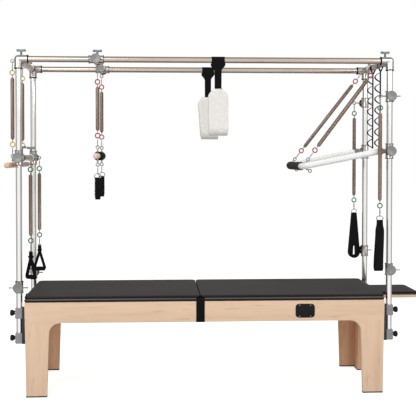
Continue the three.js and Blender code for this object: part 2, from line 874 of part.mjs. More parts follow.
function footStrap(width, bandWidth, axis) {
  const ring = topRing(dRingRadius, dRingWire);
  const top = 2 * dRingRadius - eyeRadius - dRingWire * 2;
  const loop = hangingLoop(footStrapHeight, width, strapTopRadius, footBand, bandWidth, axis);
  return surface(join([ring, loop.translate([0, 0, -top])]));
}

// A cuff hangs by its own link from the trapeze bar's lower eye
function cuff() {
  const ringTop = cuffDrop - dRingRadius;
  const link = snapLink(linkRest, ringTop + dRingWire + linkWire / 2);
  const ring = wireRing(dRingRadius, dRingWire, { z: -cuffDrop });
  const top = cuffDrop + dRingRadius - dRingWire * 2;
  const loop = hangingLoop(cuffHeight, cuffWidth, strapTopRadius, cuffBand, cuffBandWidth, 'x');
  return surface(join([link, ring, loop.translate([0, 0, -top])]));
}

// A sling: a web strap round the rail that gathers below it, and a fleece loop on its end
function sling() {
  const innerRadius = (tubeRadius + fitGap) / Math.cos(Math.PI / roundSides);
  const webRadius = innerRadius + slingBand;
  const tail = slingBand;
  const shape = beltShape(tail, webRadius, slingWebLength);
  shape.holes.push(beltShape(tail / 4, innerRadius, slingWebLength));
  const web = standing(shape, slingRailWidth, 'x');
  web.translate(0, 0, -slingWebLength);
  const position = web.attributes.position;
  for (let i = 0; i < position.count; i += 1) {
    const share = Math.min(-position.getZ(i) / slingWebLength, 1);
    const narrow = share > 1 / 2 ? slingWebWidth / slingRailWidth : 1;
    position.setX(i, position.getX(i) * narrow);
  }
  const loop = hangingLoop(fleeceHeight, fleeceDepth, fleeceTopRadius, fleeceThickness, fleeceWidth, 'x');
  return surface(join([solid(web), loop.translate([0, 0, -fleeceTop])]));
}

// A hanging strap chain: a loop round the tube, a straight strap, and a row of loops on it
function strapChain() {
  const hole = (tubeRadius + fitGap) / Math.cos(Math.PI / roundSides);
  const outer = hole + chainBand;
  const half = chainBand / 2;
  const end = -chainDrop - chainLoops * chainLoopLength;
  const shape = beltShape(half * 2, outer, chainDrop);
  shape.holes.push(beltShape(half / 2, hole, chainDrop));
  const collar = standing(shape, chainWidth, 'y');
  collar.translate(0, 0, -chainDrop);
  const strap = new THREE.Shape();
  strap.moveTo(half, -chainDrop);
  for (let i = 0; i < chainLoops; i += 1) {
    const top = -chainDrop - i * chainLoopLength;
    const low = top - chainLoopLength;
    const bulge = -chainLoopDepth * 2;
    strap.quadraticCurveTo(bulge, (top + low) / 2, i === chainLoops - 1 ? half : -half, low);
    const hollow = new THREE.Path();
    hollow.moveTo(-half, top - chainBand * 2);
    hollow.quadraticCurveTo(bulge + chainBand * 3, (top + low) / 2, -half, low + chainBand * 2);
    hollow.closePath();
    strap.holes.push(hollow);
  }
  strap.lineTo(half, end);
  strap.lineTo(half, -chainDrop);
  const chain = standing(strap, chainWidth, 'y', arcSteps - 1);
  return surface(join([solid(collar), solid(chain)]));
}

// Folding board

function extensionBoard() {
  const shape = roundedShape([
    [fitGap, -boardHalfWidth, 0], [boardLength, -boardHalfWidth, boardCornerRadius],
    [boardLength, boardHalfWidth, boardCornerRadius], [fitGap, boardHalfWidth, 0],
  ]);
  const board = new THREE.ExtrudeGeometry(shape, {
    depth: boardThickness, bevelEnabled: false, curveSegments: arcSteps,
  });
  board.translate(0, 0, barrelDiameter / 2);
  const barrel = round('y', barrelDiameter, -boardHalfWidth, boardHalfWidth);
  const leaf = block(
    [0, -boardHalfWidth, barrelDiameter / 2 - leafThickness],
    [leafLength, boardHalfWidth, barrelDiameter / 2 + leafThickness],
  );
  return surface(join([solid(board), barrel, leaf]));
}

// The scene graph. The group is shifted so that its zero lies under the middle of the whole object
const table = new THREE.Group();
const row = new THREE.Group();
row.position.x = (leftReach - rightReach) / 2;
table.add(row);

function place(name, geometry, material, x, y, z) {
  const mesh = new THREE.Mesh(geometry, material);
  mesh.name = name;
  mesh.position.set(x, y, z);
  row.add(mesh);
  return mesh;
}

const depths = { front: -1, back: 1 };
const sides = { left: -1, right: 1 };

function placeBase() {
  const panelY = (baseWidth - panelThickness) / 2;
  Object.entries(depths).forEach(([name, depth]) => {
    place(`side_panel_${name}`, sidePanel(), maple, 0, depth * panelY, 0);
  });
  Object.entries(sides).forEach(([name, side]) => {
    place(`end_panel_${name}`, endPanel(side), maple, side * baseLength / 2, 0, 0);
  });
  place('deck_board', deckBoard(), maple, 0, 0, deckTop);
  const ends = { left: -baseLength / 2 + matEndInset, right: baseLength / 2 - matEndInset };
  Object.entries(sides).forEach(([name, side]) => {
    const seam = matSeamX + side * matSeamGap / 2;
    const length = Math.abs(ends[name] - seam);
    const mat = cushion(length, baseWidth - 2 * matSideInset, matThickness, matCornerRadius);
    place(`mat_${name}`, mat, vinyl, (ends[name] + seam) / 2, 0, deckTop + fitGap);
  });
  place('mat_strap', matStrap(), webbing, matSeamX, 0, 0);
}

function placeFrame() {
  Object.entries(sides).forEach(([sideName, side]) => {
    Object.entries(depths).forEach(([depthName, depth]) => {
      const corner = `${depthName}_${sideName}`;
      const [x, y] = [side * postX, depth * postY];
      place(`post_${corner}`, surface(hollowTube('z', postFoot, frameHeight - tubeStop)), steel, x, y, 0);
      place(`post_bracket_${corner}`, postBracket(side), castAlloy, x, y, postFoot);
      place(`corner_fitting_${corner}`, cornerFitting(side, depth), castAlloy, x, y, frameHeight);
    });
    const turn = side < 0 ? 90 : pushEyeTurn;
    place(`top_tube_${sideName}`, topTube(turn), steel, side * postX, 0, frameHeight);
  });
  Object.entries(depths).forEach(([name, depth]) => {
    place(`rail_${name}`, surface(hollowTube('x', -railHalfLength, railHalfLength)), steel,
      0, depth * postY, frameHeight);
  });
}

function placeCollars() {
  const heights = { left: { front: lowLeftHeight, back: lowLeftHeight },
    right: { front: lowRightFrontHeight, back: lowRightBackHeight } };
  Object.entries(depths).forEach(([depthName, depth]) => {
    Object.entries(sides).forEach(([sideName, side]) => {
      place(`low_collar_${depthName}_${sideName}`, lowCollar(side, depth), castAlloy,
        side * postX, depth * postY, heights[sideName][depthName]);
    });
    place(`high_collar_${depthName}`, highCollar(depth), castAlloy, postX, depth * postY, highCollarHeight);
    place(`push_collar_${depthName}`, pushCollar(depth), castAlloy, postX, depth * postY, pivotHeight);
  });
}

function placeBars() {
  place('trapeze_slider', slidingBar('x', sliderSleeve, 0), castAlloy, trapezeX, 0, frameHeight);
  place('mid_bar', slidingBar('z', midBarSleeve, -90), castAlloy, -postX, 0, midBarHeight);
  place('push_bar', pushBar(), whitePaint, pivotX, 0, pivotHeight);
  const grip = place('push_bar_grip', pushBarGrip(), foam, pivotX + crossBar.x, 0, pivotHeight + crossBar.z);
  grip.rotation.y = -pushDrop * Math.PI / 180;
}

// Each spring hangs plumb from its eye, apart from the push bar's, which run to its upper eyes
function placeSprings() {
  const rollEye = rollBarHeight + eyeReach;
  const trapezeEye = trapezeBarHeight + eyeReach;
  const turn = pushEyeTurn * Math.PI / 180;
  const pushTop = { x: postX - eyeReach * Math.sin(turn), z: frameHeight - eyeReach * Math.cos(turn) };
  const upper = pushUpperEyeTurn * Math.PI / 180;
  const pushEnd = { x: pivotX + crossBar.x - pushEyeReach * Math.sin(upper),
    z: pivotHeight + crossBar.z - pushEyeReach * Math.cos(upper) };
  Object.entries(depths).forEach(([name, depth]) => {
    const y = depth * anchorY;
    const rodY = depth * (postY + rodOffset);
    place(`roll_spring_${name}`, surface(springSet(frameHeight - rollEye)), springSteel, rollX, y, frameHeight);
    place(`trapeze_spring_${name}`, surface(springSet(frameHeight - eyeReach - trapezeEye)), springSteel,
      trapezeX, y, frameHeight - eyeReach);
    place(`arm_spring_${name}`, surface(springSet(armCoilLength + coilEnds)), springSteel, armX, y, midBarHeight);
    place(`leg_spring_${name}`, surface(springSet(legCoilLength + coilEnds)), springSteel,
      legEyeX, rodY, highCollarHeight);
    const from = new THREE.Vector3(pushTop.x, y, pushTop.z);
    const to = new THREE.Vector3(pushEnd.x, depth * pushEyeY, pushEnd.z);
    const mesh = place(`push_spring_${name}`, surface(springSet(from.distanceTo(to))), springSteel,
      from.x, from.y, from.z);
    mesh.quaternion.setFromUnitVectors(new THREE.Vector3(0, 0, -1), to.sub(from).normalize());
  });
}

function placeHandles() {
  place('roll_bar', rollBar(), barWood, rollX, 0, rollBarHeight);
  place('trapeze_bar', trapezeBar(), paleWood, trapezeX, 0, trapezeBarHeight);
  const slingX = { front: slingFrontX, back: slingBackX };
  const strapForms = { front: [frontStrapWidth, frontBandWidth, 'x'], back: [footStrapWidth, footBandWidth, 'y'] };
  const cuffEye = trapezeBarHeight - eyeReach;
  Object.entries(depths).forEach(([name, depth]) => {
    const y = depth * anchorY;
    const rodY = depth * (postY + rodOffset);
    place(`handle_${name}`, handle(), webbing, armX, y, midBarHeight - armCoilLength - coilEnds);
    place(`foot_strap_${name}`, footStrap(...strapForms[name]), webbing,
      legEyeX, rodY, highCollarHeight - legCoilLength - coilEnds);
    place(`cuff_${name}`, cuff(), webbing, trapezeX, y, cuffEye);
    place(`sling_${name}`, sling(), fleece, slingX[name], depth * postY, frameHeight);
    place(`hang_strap_${name}`, strapChain(), webbing, postX, depth * chainY, frameHeight);
  });
}

function placeExtension() {
  place('extension_board', extensionBoard(), maple, hingeX, 0, hingeZ);
  const length = boardLength - padInset - fitGap;
  const pad = cushion(length, 2 * (boardHalfWidth - padInset), padThickness, boardCornerRadius);
  place('extension_cushion', pad, vinyl, hingeX + fitGap + length / 2, 0, boardTop + fitGap);
}

placeBase();
placeFrame();
placeCollars();
placeBars();
placeSprings();
placeHandles();
placeExtension();

leastGaps.forEach((gap, length) => {
  console.log(`coil of ${length} mm: least gap between curls ${gap.toFixed(2)} mm`);
});

export default table;
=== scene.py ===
import logging
import math
from dataclasses import dataclass, field
from enum import Enum
from typing import Callable, Iterable, Sequence

import bmesh
import bpy
from mathutils import Matrix, Vector, noise


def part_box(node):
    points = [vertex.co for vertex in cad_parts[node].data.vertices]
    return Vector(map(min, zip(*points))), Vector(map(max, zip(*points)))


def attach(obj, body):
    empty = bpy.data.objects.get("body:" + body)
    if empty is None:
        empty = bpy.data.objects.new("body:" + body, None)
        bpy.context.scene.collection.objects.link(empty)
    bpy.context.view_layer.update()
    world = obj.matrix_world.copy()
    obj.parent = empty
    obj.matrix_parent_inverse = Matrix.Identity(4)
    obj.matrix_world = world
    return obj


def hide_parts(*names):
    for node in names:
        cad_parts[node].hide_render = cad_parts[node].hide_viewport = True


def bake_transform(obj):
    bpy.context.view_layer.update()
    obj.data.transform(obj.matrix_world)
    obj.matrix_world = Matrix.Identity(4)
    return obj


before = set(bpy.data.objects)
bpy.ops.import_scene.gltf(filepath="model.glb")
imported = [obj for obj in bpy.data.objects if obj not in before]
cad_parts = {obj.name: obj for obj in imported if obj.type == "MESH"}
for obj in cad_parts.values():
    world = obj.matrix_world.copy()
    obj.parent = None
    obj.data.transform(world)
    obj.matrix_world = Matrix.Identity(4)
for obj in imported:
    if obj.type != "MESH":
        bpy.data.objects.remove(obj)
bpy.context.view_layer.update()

LOG = logging.getLogger("trapeze_table")

# Sizes below are millimetres in the table's own frame, whose middle is the middle of the base.
TO_METRES = 0.001
ROW_SHIFT = Vector((-0.08575, 0.0, 0.0))
SHARP = math.radians(35)

Colour = tuple[float, float, float]
Point = tuple[float, float, float]
Outline = Sequence[tuple[float, float]]
Piece = bpy.types.Object
Socket = bpy.types.NodeSocket

ORIGIN = Vector((0, 0, 0))
UPRIGHT = Matrix.Rotation(math.pi / 2, 4, "X")
ACROSS = Matrix.Rotation(math.pi / 2, 4, "Z")


class Spot(Enum):
    """A place that has a word and a sign."""

    @property
    def word(self) -> str:
        """The word that names of pieces use."""
        return self.name.lower()


class Depth(Spot):
    """The front or the back of the table, with the sign of its Y."""

    FRONT = -1
    BACK = 1


class Side(Spot):
    """The left or the right end of the table, with the sign of its X."""

    LEFT = -1
    RIGHT = 1


class Way(Enum):
    """Directions that pieces point in."""

    X = Vector((1, 0, 0))
    Y = Vector((0, 1, 0))
    Z = Vector((0, 0, 1))
    DOWN = Vector((0, 0, -1))


@dataclass(frozen=True)
class Layout:
    """Places and sizes that several sub-assemblies share."""

    post_x: float = 1165
    post_y: float = 310
    rail_z: float = 2100
    tube_radius: float = 19
    tube_wall: float = 2
    tube_stop: float = 24
    cross_reach: float = 88
    anchor_y: float = 200
    eye_reach: float = 56
    slider_x: float = -685
    middle_z: float = 1488
    high_z: float = 1876
    pivot_x: float = 1107
    pivot_z: float = 1530
    push_reach: float = 500
    push_drop: float = 11.1
    push_eye_y: float = 255
    push_eye_reach: float = 59
    push_eye_turn: float = -138.4
    right_turn: float = 65
    roll_x: float = -1221
    arm_x: float = -1109
    arm_low: float = 887
    leg_x: float = 1096
    leg_y: float = 345
    leg_low: float = 1112


LAYOUT = Layout()


# Finishes


def linear(value: int) -> float:
    """One channel of a screen colour, from 0 to 255, as linear light."""
    share = value / 255
    return share / 12.92 if share <= 0.04045 else ((share + 0.055) / 1.055) ** 2.4


def lit(red: int, green: int, blue: int) -> Colour:
    """A screen colour as the linear light that a shader takes."""
    return linear(red), linear(green), linear(blue)


class Nodes:
    """A node tree that is wired from code."""

    def __init__(self, tree: bpy.types.NodeTree) -> None:
        """Keeps the tree that new nodes go into."""
        self.tree = tree

    def add(self, kind: str, inputs: dict | None = None, **settings: object) -> bpy.types.Node:
        """Adds a node.

        Args:
            kind: The node's type.
            inputs: Values or sockets for its inputs.
            settings: The node's own properties.

        Returns:
            The node.
        """
        node = self.tree.nodes.new(kind)
        for key, value in settings.items():
            setattr(node, key, value)
        for key, value in (inputs or {}).items():
            self.feed(node.inputs[key], value)
        return node

    def feed(self, socket: Socket, value: object) -> None:
        """Gives an input a value or a link.

        Args:
            socket: The input.
            value: A number, a colour or another node's output.
        """
        if isinstance(value, Socket):
            self.tree.links.new(value, socket)
        else:
            socket.default_value = value

    def maths(self, operation: str, first: object, second: object) -> Socket:
        """The outcome of one operation on two values."""
        return self.add("ShaderNodeMath", {0: first, 1: second}, operation=operation).outputs[0]


class Board(Nodes):
    """One material's nodes, with its surface shader ready to wire."""

    def __init__(self, name: str) -> None:
        """Starts an empty material.

        Args:
            name: The material's name.
        """
        self.material = bpy.data.materials.new(name)
        self.material.use_nodes = True
        super().__init__(self.material.node_tree)
        self.shader = self.tree.nodes["Principled BSDF"]
        self.place = self.tree.nodes.new("ShaderNodeTexCoord").outputs["Object"]

    def paint(self, colour: object, roughness: object) -> None:
        """Wires the shader's colour and roughness."""
        self.feed(self.shader.inputs["Base Color"], colour)
        self.feed(self.shader.inputs["Roughness"], roughness)

    def stretched(self, scale: Point) -> Socket:
        """Object coordinates times a scale on each axis."""
        node = self.add("ShaderNodeMapping", {"Vector": self.place, "Scale": scale})
        return node.outputs["Vector"]

    def clouds(self, scale: Point, detail: float = 4, rough: float = 0.55) -> Socket:
        """Noise from 0 to 1 over the surface."""
        node = self.add("ShaderNodeTexNoise", {
            "Vector": self.stretched(scale), "Scale": 1.0, "Detail": detail, "Roughness": rough})
        return node.outputs["Fac"]

    def blend(self, value: object, stops: Sequence[tuple[float, Colour]]) -> Socket:
        """A colour picked from a ramp.

        Args:
            value: What drives the ramp.
            stops: Places on the ramp with their colours.

        Returns:
            The colour.
        """
        node = self.add("ShaderNodeValToRGB", {"Fac": value})
        ramp = node.color_ramp
        while len(ramp.elements) < len(stops):
            ramp.elements.new(0.5)
        for element, (place, colour) in zip(ramp.elements, stops):
            element.position = place
            element.color = (*colour, 1)
        return node.outputs["Color"]

    def between(self, value: object, low: float, high: float) -> Socket:
        """A value from 0 to 1 spread between two numbers."""
        node = self.add("ShaderNodeMapRange", {"Value": value, "To Min": low, "To Max": high})
        return node.outputs["Result"]

    def emboss(self, height: object, strength: float, depth: float) -> None:
        """Raises the surface by a height pattern."""
        node = self.add("ShaderNodeBump", {
            "Height": height, "Strength": strength, "Distance": depth})
        self.feed(self.shader.inputs["Normal"], node.outputs["Normal"])


@dataclass(frozen=True)
class Finish:
    """A surface with soft clouds of two tones. Other finishes start from it."""

    name: str
    tone: Colour
    shade: Colour
    roughness: float
    metallic: float = 0.0
    coat: float = 0.0
    sheen: float = 0.0
    clouds: float = 14.0
    shine: float = 0.5

    def make(self) -> bpy.types.Material:
        """Builds the material.

        Returns:
            The finished material.
        """
        board = Board(self.name)
        values = {"Metallic": self.metallic, "Coat Weight": self.coat, "Coat Roughness": 0.25,
                  "Sheen Weight": self.sheen, "Specular IOR Level": self.shine}
        for key, value in values.items():
            board.feed(board.shader.inputs[key], value)
        self.pattern(board)
        return board.material

    def tones(self, board: Board, value: object, low: float, high: float) -> Socket:
        """The finish's shade at one place of a pattern, and its tone at a higher one."""
        return board.blend(value, [(low, self.shade), (high, self.tone)])

    def dulled(self, board: Board, value: object, low: float, high: float) -> Socket:
        """The finish's roughness, spread between two shares of it by a pattern."""
        return board.between(value, self.roughness * low, self.roughness * high)

    def pattern(self, board: Board) -> None:
        """Wires colour, roughness and bump.

        Args:
            board: The material's nodes.
        """
        soft = board.clouds((self.clouds,) * 3)
        fine = board.clouds((self.clouds * 40,) * 3)
        board.paint(self.tones(board, soft, 0.3, 0.7), self.dulled(board, fine, 0.85, 1.15))
        board.emboss(fine, 0.12, 0.0002)


@dataclass(frozen=True)
class Timber(Finish):
    """Lacquered wood, its grain along one axis, with faint darker streaks."""

    streak: Colour = (0.5, 0.3, 0.2)
    along: Way = Way.X
    upright_below: float = 0.0

    def stretch(self, long: float, across: float) -> Point:
        """Noise scales that are low along the grain."""
        return tuple(long if part else across for part in self.along.value)

    def grain(self, board: Board, long: float, across: float, detail: float,
              rough: float) -> Socket:
        """Noise along the grain, which stands upright in the legs below the apron.

        Args:
            board: The material's nodes.
            long: Features to the metre along the grain.
            across: Features to the metre across it.
            detail: Octaves of finer noise.
            rough: The strength of the finer noise.

        Returns:
            The noise value.
        """
        level = board.clouds(self.stretch(long, across), detail, rough)
        if not self.upright_below:
            return level
        upright = board.clouds((across, across, long), detail, rough)
        height = board.add("ShaderNodeSeparateXYZ", {0: board.place}).outputs["Z"]
        above = board.maths("GREATER_THAN", height, self.upright_below)
        mixed = board.add("ShaderNodeMix", {"Factor": above})
        board.feed(mixed.inputs["A"], upright)
        board.feed(mixed.inputs["B"], level)
        return mixed.outputs["Result"]

    def pattern(self, board: Board) -> None:
        """Wires the wood's bands, pores and streaks.

        Args:
            board: The material's nodes.
        """
        bands = self.grain(board, 0.9, 16, 5, 0.6)
        wood = board.blend(bands, [(0.32, self.shade), (0.5, self.tone), (0.68, self.shade)])
        flecks = self.grain(board, 6, 55, 3, 0.5)
        rare = board.blend(flecks, [(0.61, (0, 0, 0)), (0.72, (1, 1, 1))])
        mixed = board.add("ShaderNodeMix", {"Factor": board.between(rare, 0, 0.6)}, data_type="RGBA")
        board.feed(mixed.inputs["A"], wood)
        mixed.inputs["B"].default_value = (*self.streak, 1)
        pores = self.grain(board, 30, 700, 2, 0.55)
        board.paint(mixed.outputs["Result"], self.dulled(board, pores, 0.85, 1.2))
        board.emboss(pores, 0.15, 0.0002)


@dataclass(frozen=True)
class Metal(Finish):
    """Metal with fine marks drawn along one axis, or cast and even."""

    drawn: Point = (260.0, 260.0, 260.0)

    def pattern(self, board: Board) -> None:
        """Wires the drawn marks and slight dulling.

        Args:
            board: The material's nodes.
        """
        marks = board.clouds(self.drawn, 3, 0.5)
        dull = board.clouds((5, 5, 5), 3, 0.6)
        board.paint(self.tones(board, dull, 0.25, 0.75), self.dulled(board, marks, 0.92, 1.08))
        board.emboss(marks, 0.003, 0.00002)


@dataclass(frozen=True)
class Hide(Finish):
    """Matt upholstery vinyl with a pebbled grain."""

    def pattern(self, board: Board) -> None:
        """Wires the pebbles and the slow change in tone.

        Args:
            board: The material's nodes.
        """
        cells = board.add("ShaderNodeTexVoronoi", {
            "Vector": board.stretched((520, 520, 520)), "Scale": 1.0}, feature="SMOOTH_F1")
        pebbles = cells.outputs["Distance"]
        slow = board.clouds((3, 5, 5), 3)
        board.paint(self.tones(board, slow, 0.3, 0.7), self.dulled(board, pebbles, 0.9, 1.15))
        board.emboss(pebbles, 0.25, 0.0003)


@dataclass(frozen=True)
class Weave(Finish):
    """Woven webbing: ribs along all three axes."""

    ribs: float = 420.0

    def pattern(self, board: Board) -> None:
        """Wires three sets of ribs.

        Args:
            board: The material's nodes.
        """
        heights = []
        for way in ("X", "Y", "Z"):
            wave = board.add("ShaderNodeTexWave", {
                "Vector": board.place, "Scale": self.ribs / 6.3, "Distortion": 0.4}, bands_direction=way)
            heights.append(wave.outputs["Fac"])
        full = board.maths("ADD", board.maths("ADD", heights[0], heights[1]), heights[2])
        height = board.between(full, 0, 0.34)
        board.paint(self.tones(board, height, 0.2, 0.8), self.dulled(board, height, 1, 0.9))
        board.emboss(height, 0.4, 0.0004)


@dataclass(frozen=True)
class Finishes:
    """Every material of the table, made once."""

    maple: Timber = Timber("maple", lit(239, 208, 178), lit(230, 194, 163), 0.45, coat=0.08, shine=0.35,
                           streak=lit(214, 158, 130), upright_below=0.461)
    # A darker, browner copy of the maple for the back side board and the end boards: painted shade for the
    # shade inside the base.
    shaded_maple: Timber = Timber("shaded_maple", lit(234, 190, 154), lit(223, 176, 139), 0.45, coat=0.08,
                                  shine=0.35, streak=lit(208, 150, 120), upright_below=0.461)
    deck_maple: Timber = Timber("deck_maple", lit(239, 208, 178), lit(230, 194, 163), 0.45, coat=0.08,
                                shine=0.35, streak=lit(208, 158, 128))
    roll_wood: Timber = Timber("roll_wood", lit(238, 200, 174), lit(224, 182, 154), 0.4, coat=0.1,
                               shine=0.35, streak=lit(170, 110, 80), along=Way.Y)
    trapeze_wood: Timber = Timber("trapeze_wood", lit(240, 210, 188), lit(230, 194, 168), 0.4, coat=0.1,
                                  shine=0.35, streak=lit(205, 160, 130), along=Way.Y)
    # The mats' vinyl is black all over. The top's finish is a lighter copy with painted light and
    # reflection that the top catches. The sides' finish is the vinyl's own black.
    mat_vinyl: Hide = Hide("mat_vinyl", lit(64, 60, 60), lit(58, 54, 54), 0.6, shine=0.1)
    side_vinyl: Hide = Hide("side_vinyl", lit(16, 15, 15), lit(10, 10, 10), 0.34, shine=0.22)
    # The roll's finish is a lighter, glossier copy of the same black vinyl: a painted highlight along the
    # roll's upward slope.
    roll_vinyl: Hide = Hide("roll_vinyl", lit(88, 84, 84), lit(78, 74, 74), 0.32, shine=0.4)
    webbing: Weave = Weave("webbing", lit(20, 20, 21), lit(8, 8, 9), 0.8, shine=0.12)
    neoprene: Finish = Finish("neoprene", lit(18, 18, 19), lit(10, 10, 11), 0.75, clouds=30, shine=0.12)
    fleece: Finish = Finish("fleece", lit(244, 241, 237), lit(232, 227, 221), 0.95, sheen=0.3, clouds=60,
                            shine=0.1)
    upright_steel: Metal = Metal("upright_steel", lit(248, 246, 243), lit(243, 240, 236), 0.13, 1.0,
                                 drawn=(300, 300, 4))
    # Rails and cross tubes are the same steel as the uprights; their warmer, darker tone is a painted
    # reflection of warm surroundings.
    rail_steel: Metal = Metal("rail_steel", lit(208, 194, 181), lit(198, 183, 169), 0.2, 1.0,
                              drawn=(4, 300, 300))
    cross_steel: Metal = Metal("cross_steel", lit(214, 202, 190), lit(203, 191, 179), 0.2, 1.0,
                               drawn=(300, 4, 300))
    fitting_alloy: Metal = Metal("fitting_alloy", lit(212, 206, 200), lit(198, 191, 184), 0.24, 1.0)
    disc_alloy: Metal = Metal("disc_alloy", lit(146, 146, 144), lit(132, 132, 130), 0.5, 0.7, shine=0.3)
    bracket_alloy: Metal = Metal("bracket_alloy", lit(154, 152, 153), lit(138, 136, 137), 0.42, 0.8,
                                 shine=0.3)
    back_plate: Metal = Metal("back_plate", lit(66, 67, 72), lit(50, 51, 56), 0.5, 0.3, shine=0.2)
    bright_steel: Metal = Metal("bright_steel", lit(172, 168, 164), lit(146, 142, 138), 0.24, 1.0)
    # The spring wire's warm brown tone is a painted reflection of warm surroundings on plain steel wire.
    spring_wire: Metal = Metal("spring_wire", lit(176, 153, 136), lit(154, 132, 116), 0.36, 0.85)
    white_paint: Finish = Finish("white_paint", lit(250, 250, 249), lit(246, 246, 245), 0.3, coat=0.2)
    grip_foam: Hide = Hide("grip_foam", lit(62, 57, 52), lit(56, 51, 47), 0.9, shine=0.1)
    black_foam: Hide = Hide("black_foam", lit(24, 22, 22), lit(14, 13, 13), 0.85, shine=0.15)
    black_rubber: Finish = Finish("black_rubber", lit(20, 20, 21), lit(12, 12, 13), 0.6, clouds=40,
                                  shine=0.2)
    black_plastic: Finish = Finish("black_plastic", lit(18, 18, 19), lit(10, 10, 11), 0.45, clouds=60,
                                   shine=0.2)
    yellow_ring: Finish = Finish("yellow_ring", lit(226, 200, 40), lit(206, 178, 26), 0.4, 0.0, clouds=90)
    red_ring: Finish = Finish("red_ring", lit(200, 30, 38), lit(176, 18, 28), 0.4, 0.0, clouds=90)
    green_ring: Finish = Finish("green_ring", lit(24, 130, 62), lit(14, 106, 44), 0.4, 0.0, clouds=90)
    ready: dict[str, bpy.types.Material] = field(default_factory=dict)

    def get(self, finish: Finish) -> bpy.types.Material:
        """A finish's material, made the first time it is asked for."""
        if finish.name not in self.ready:
            self.ready[finish.name] = finish.make()
        return self.ready[finish.name]


FINISHES = Finishes()


# Modelling by hand


def deselect() -> None:
    """Leaves edit mode and deselects everything."""
    if bpy.context.object and bpy.context.object.mode != "OBJECT":
        bpy.ops.object.mode_set(mode="OBJECT")
    bpy.ops.object.select_all(action="DESELECT")


def only(obj: Piece) -> None:
    """Selects one object and makes it active.

    Args:
        obj: The object.
    """
    deselect()
    obj.select_set(True)
    bpy.context.view_layer.objects.active = obj


def open_all(obj: Piece) -> None:
    """Opens a piece in edit mode with all of it selected.

    Args:
        obj: The piece.
    """
    only(obj)
    bpy.ops.object.mode_set(mode="EDIT")
    bpy.ops.mesh.select_all(action="SELECT")


def close() -> None:
    """Leaves edit mode."""
    bpy.ops.object.mode_set(mode="OBJECT")


def pick(obj: Piece, mode: str, test: Callable[[Vector, Vector], bool]) -> None:
    """Opens a piece in edit mode and selects what passes a test.

    Args:
        obj: The piece.
        mode: VERT, EDGE or FACE.
        test: Takes a middle point and a normal.
    """
    only(obj)
    bpy.ops.object.mode_set(mode="EDIT")
    bpy.ops.mesh.select_mode(type=mode)
    bpy.ops.mesh.select_all(action="DESELECT")
    mesh = bmesh.from_edit_mesh(obj.data)
    items = {"VERT": mesh.verts, "EDGE": mesh.edges, "FACE": mesh.faces}[mode]
    for item in items:
        if mode == "VERT":
            chosen = test(item.co, item.normal)
        elif mode == "EDGE":
            chosen = test((item.verts[0].co + item.verts[1].co) / 2, item.verts[0].normal)
        else:
            chosen = test(item.calc_center_median(), item.normal)
        item.select_set(chosen)
    mesh.select_flush_mode()
    bmesh.update_edit_mesh(obj.data)


def extrude(step: Point) -> None:
    """Extrudes what is selected."""
    bpy.ops.mesh.extrude_region_move(TRANSFORM_OT_translate={"value": step})


def even_normals() -> None:
    """Turns all faces outwards, in edit mode, and goes back to object mode."""
    bpy.ops.mesh.select_all(action="SELECT")
    bpy.ops.mesh.normals_make_consistent(inside=False)
    close()


def apply(obj: Piece, kind: str, **settings: object) -> Piece:
    """Adds a modifier and applies it.

    Args:
        obj: The piece.
        kind: The modifier's type.
        settings: The modifier's properties.

    Returns:
        The piece.
    """
    only(obj)
    bpy.ops.object.modifier_add(type=kind)
    modifier = obj.modifiers[-1]
    for key, value in settings.items():
        setattr(modifier, key, value)
    bpy.ops.object.modifier_apply(modifier=modifier.name)
    return obj


def ease(obj: Piece, width: float, segments: int = 2) -> Piece:
    """Rounds a piece's sharp edges."""
    return apply(obj, "BEVEL", width=width, segments=segments, limit_method="ANGLE",
                 angle_limit=math.radians(38), harden_normals=False)


def aim(foot: Vector, toward: Vector) -> Matrix:
    """The placement that puts zero at a foot and turns +Z toward a direction."""
    return Matrix.Translation(foot) @ Way.Z.value.rotation_difference(toward).to_matrix().to_4x4()


def put(obj: Piece, placement: Matrix) -> Piece:
    """Moves a piece's mesh.

    Args:
        obj: The piece.
        placement: The matrix.

    Returns:
        The piece.
    """
    obj.data.transform(placement)
    obj.data.update()
    return obj


def copied(obj: Piece, placement: Matrix) -> Piece:
    """A copy of a piece with a mesh of its own.

    Args:
        obj: The piece.
        placement: Where the copy goes.

    Returns:
        The copy.
    """
    twin = obj.copy()
    twin.data = obj.data.copy()
    bpy.context.collection.objects.link(twin)
    return put(twin, placement)


def joined(pieces: Sequence[Piece]) -> Piece:
    """Makes one object of several, with all their materials.

    Args:
        pieces: The objects.

    Returns:
        The joined object.
    """
    deselect()
    for piece in pieces:
        piece.select_set(True)
    bpy.context.view_layer.objects.active = pieces[0]
    if len(pieces) > 1:
        bpy.ops.object.join()
    return bpy.context.view_layer.objects.active


def coloured(obj: Piece, finish: Finish) -> Piece:
    """Gives a whole piece one finish.

    Args:
        obj: The piece.
        finish: The finish.

    Returns:
        The piece.
    """
    obj.data.materials.clear()
    obj.data.materials.append(FINISHES.get(finish))
    return obj


def even(half: Outline) -> list[tuple[float, float]]:
    """A profile that is the same on both sides of zero, from its half listed end first."""
    return [(-along, wide) for along, wide in half] + [pair for pair in reversed(half) if pair[0]]


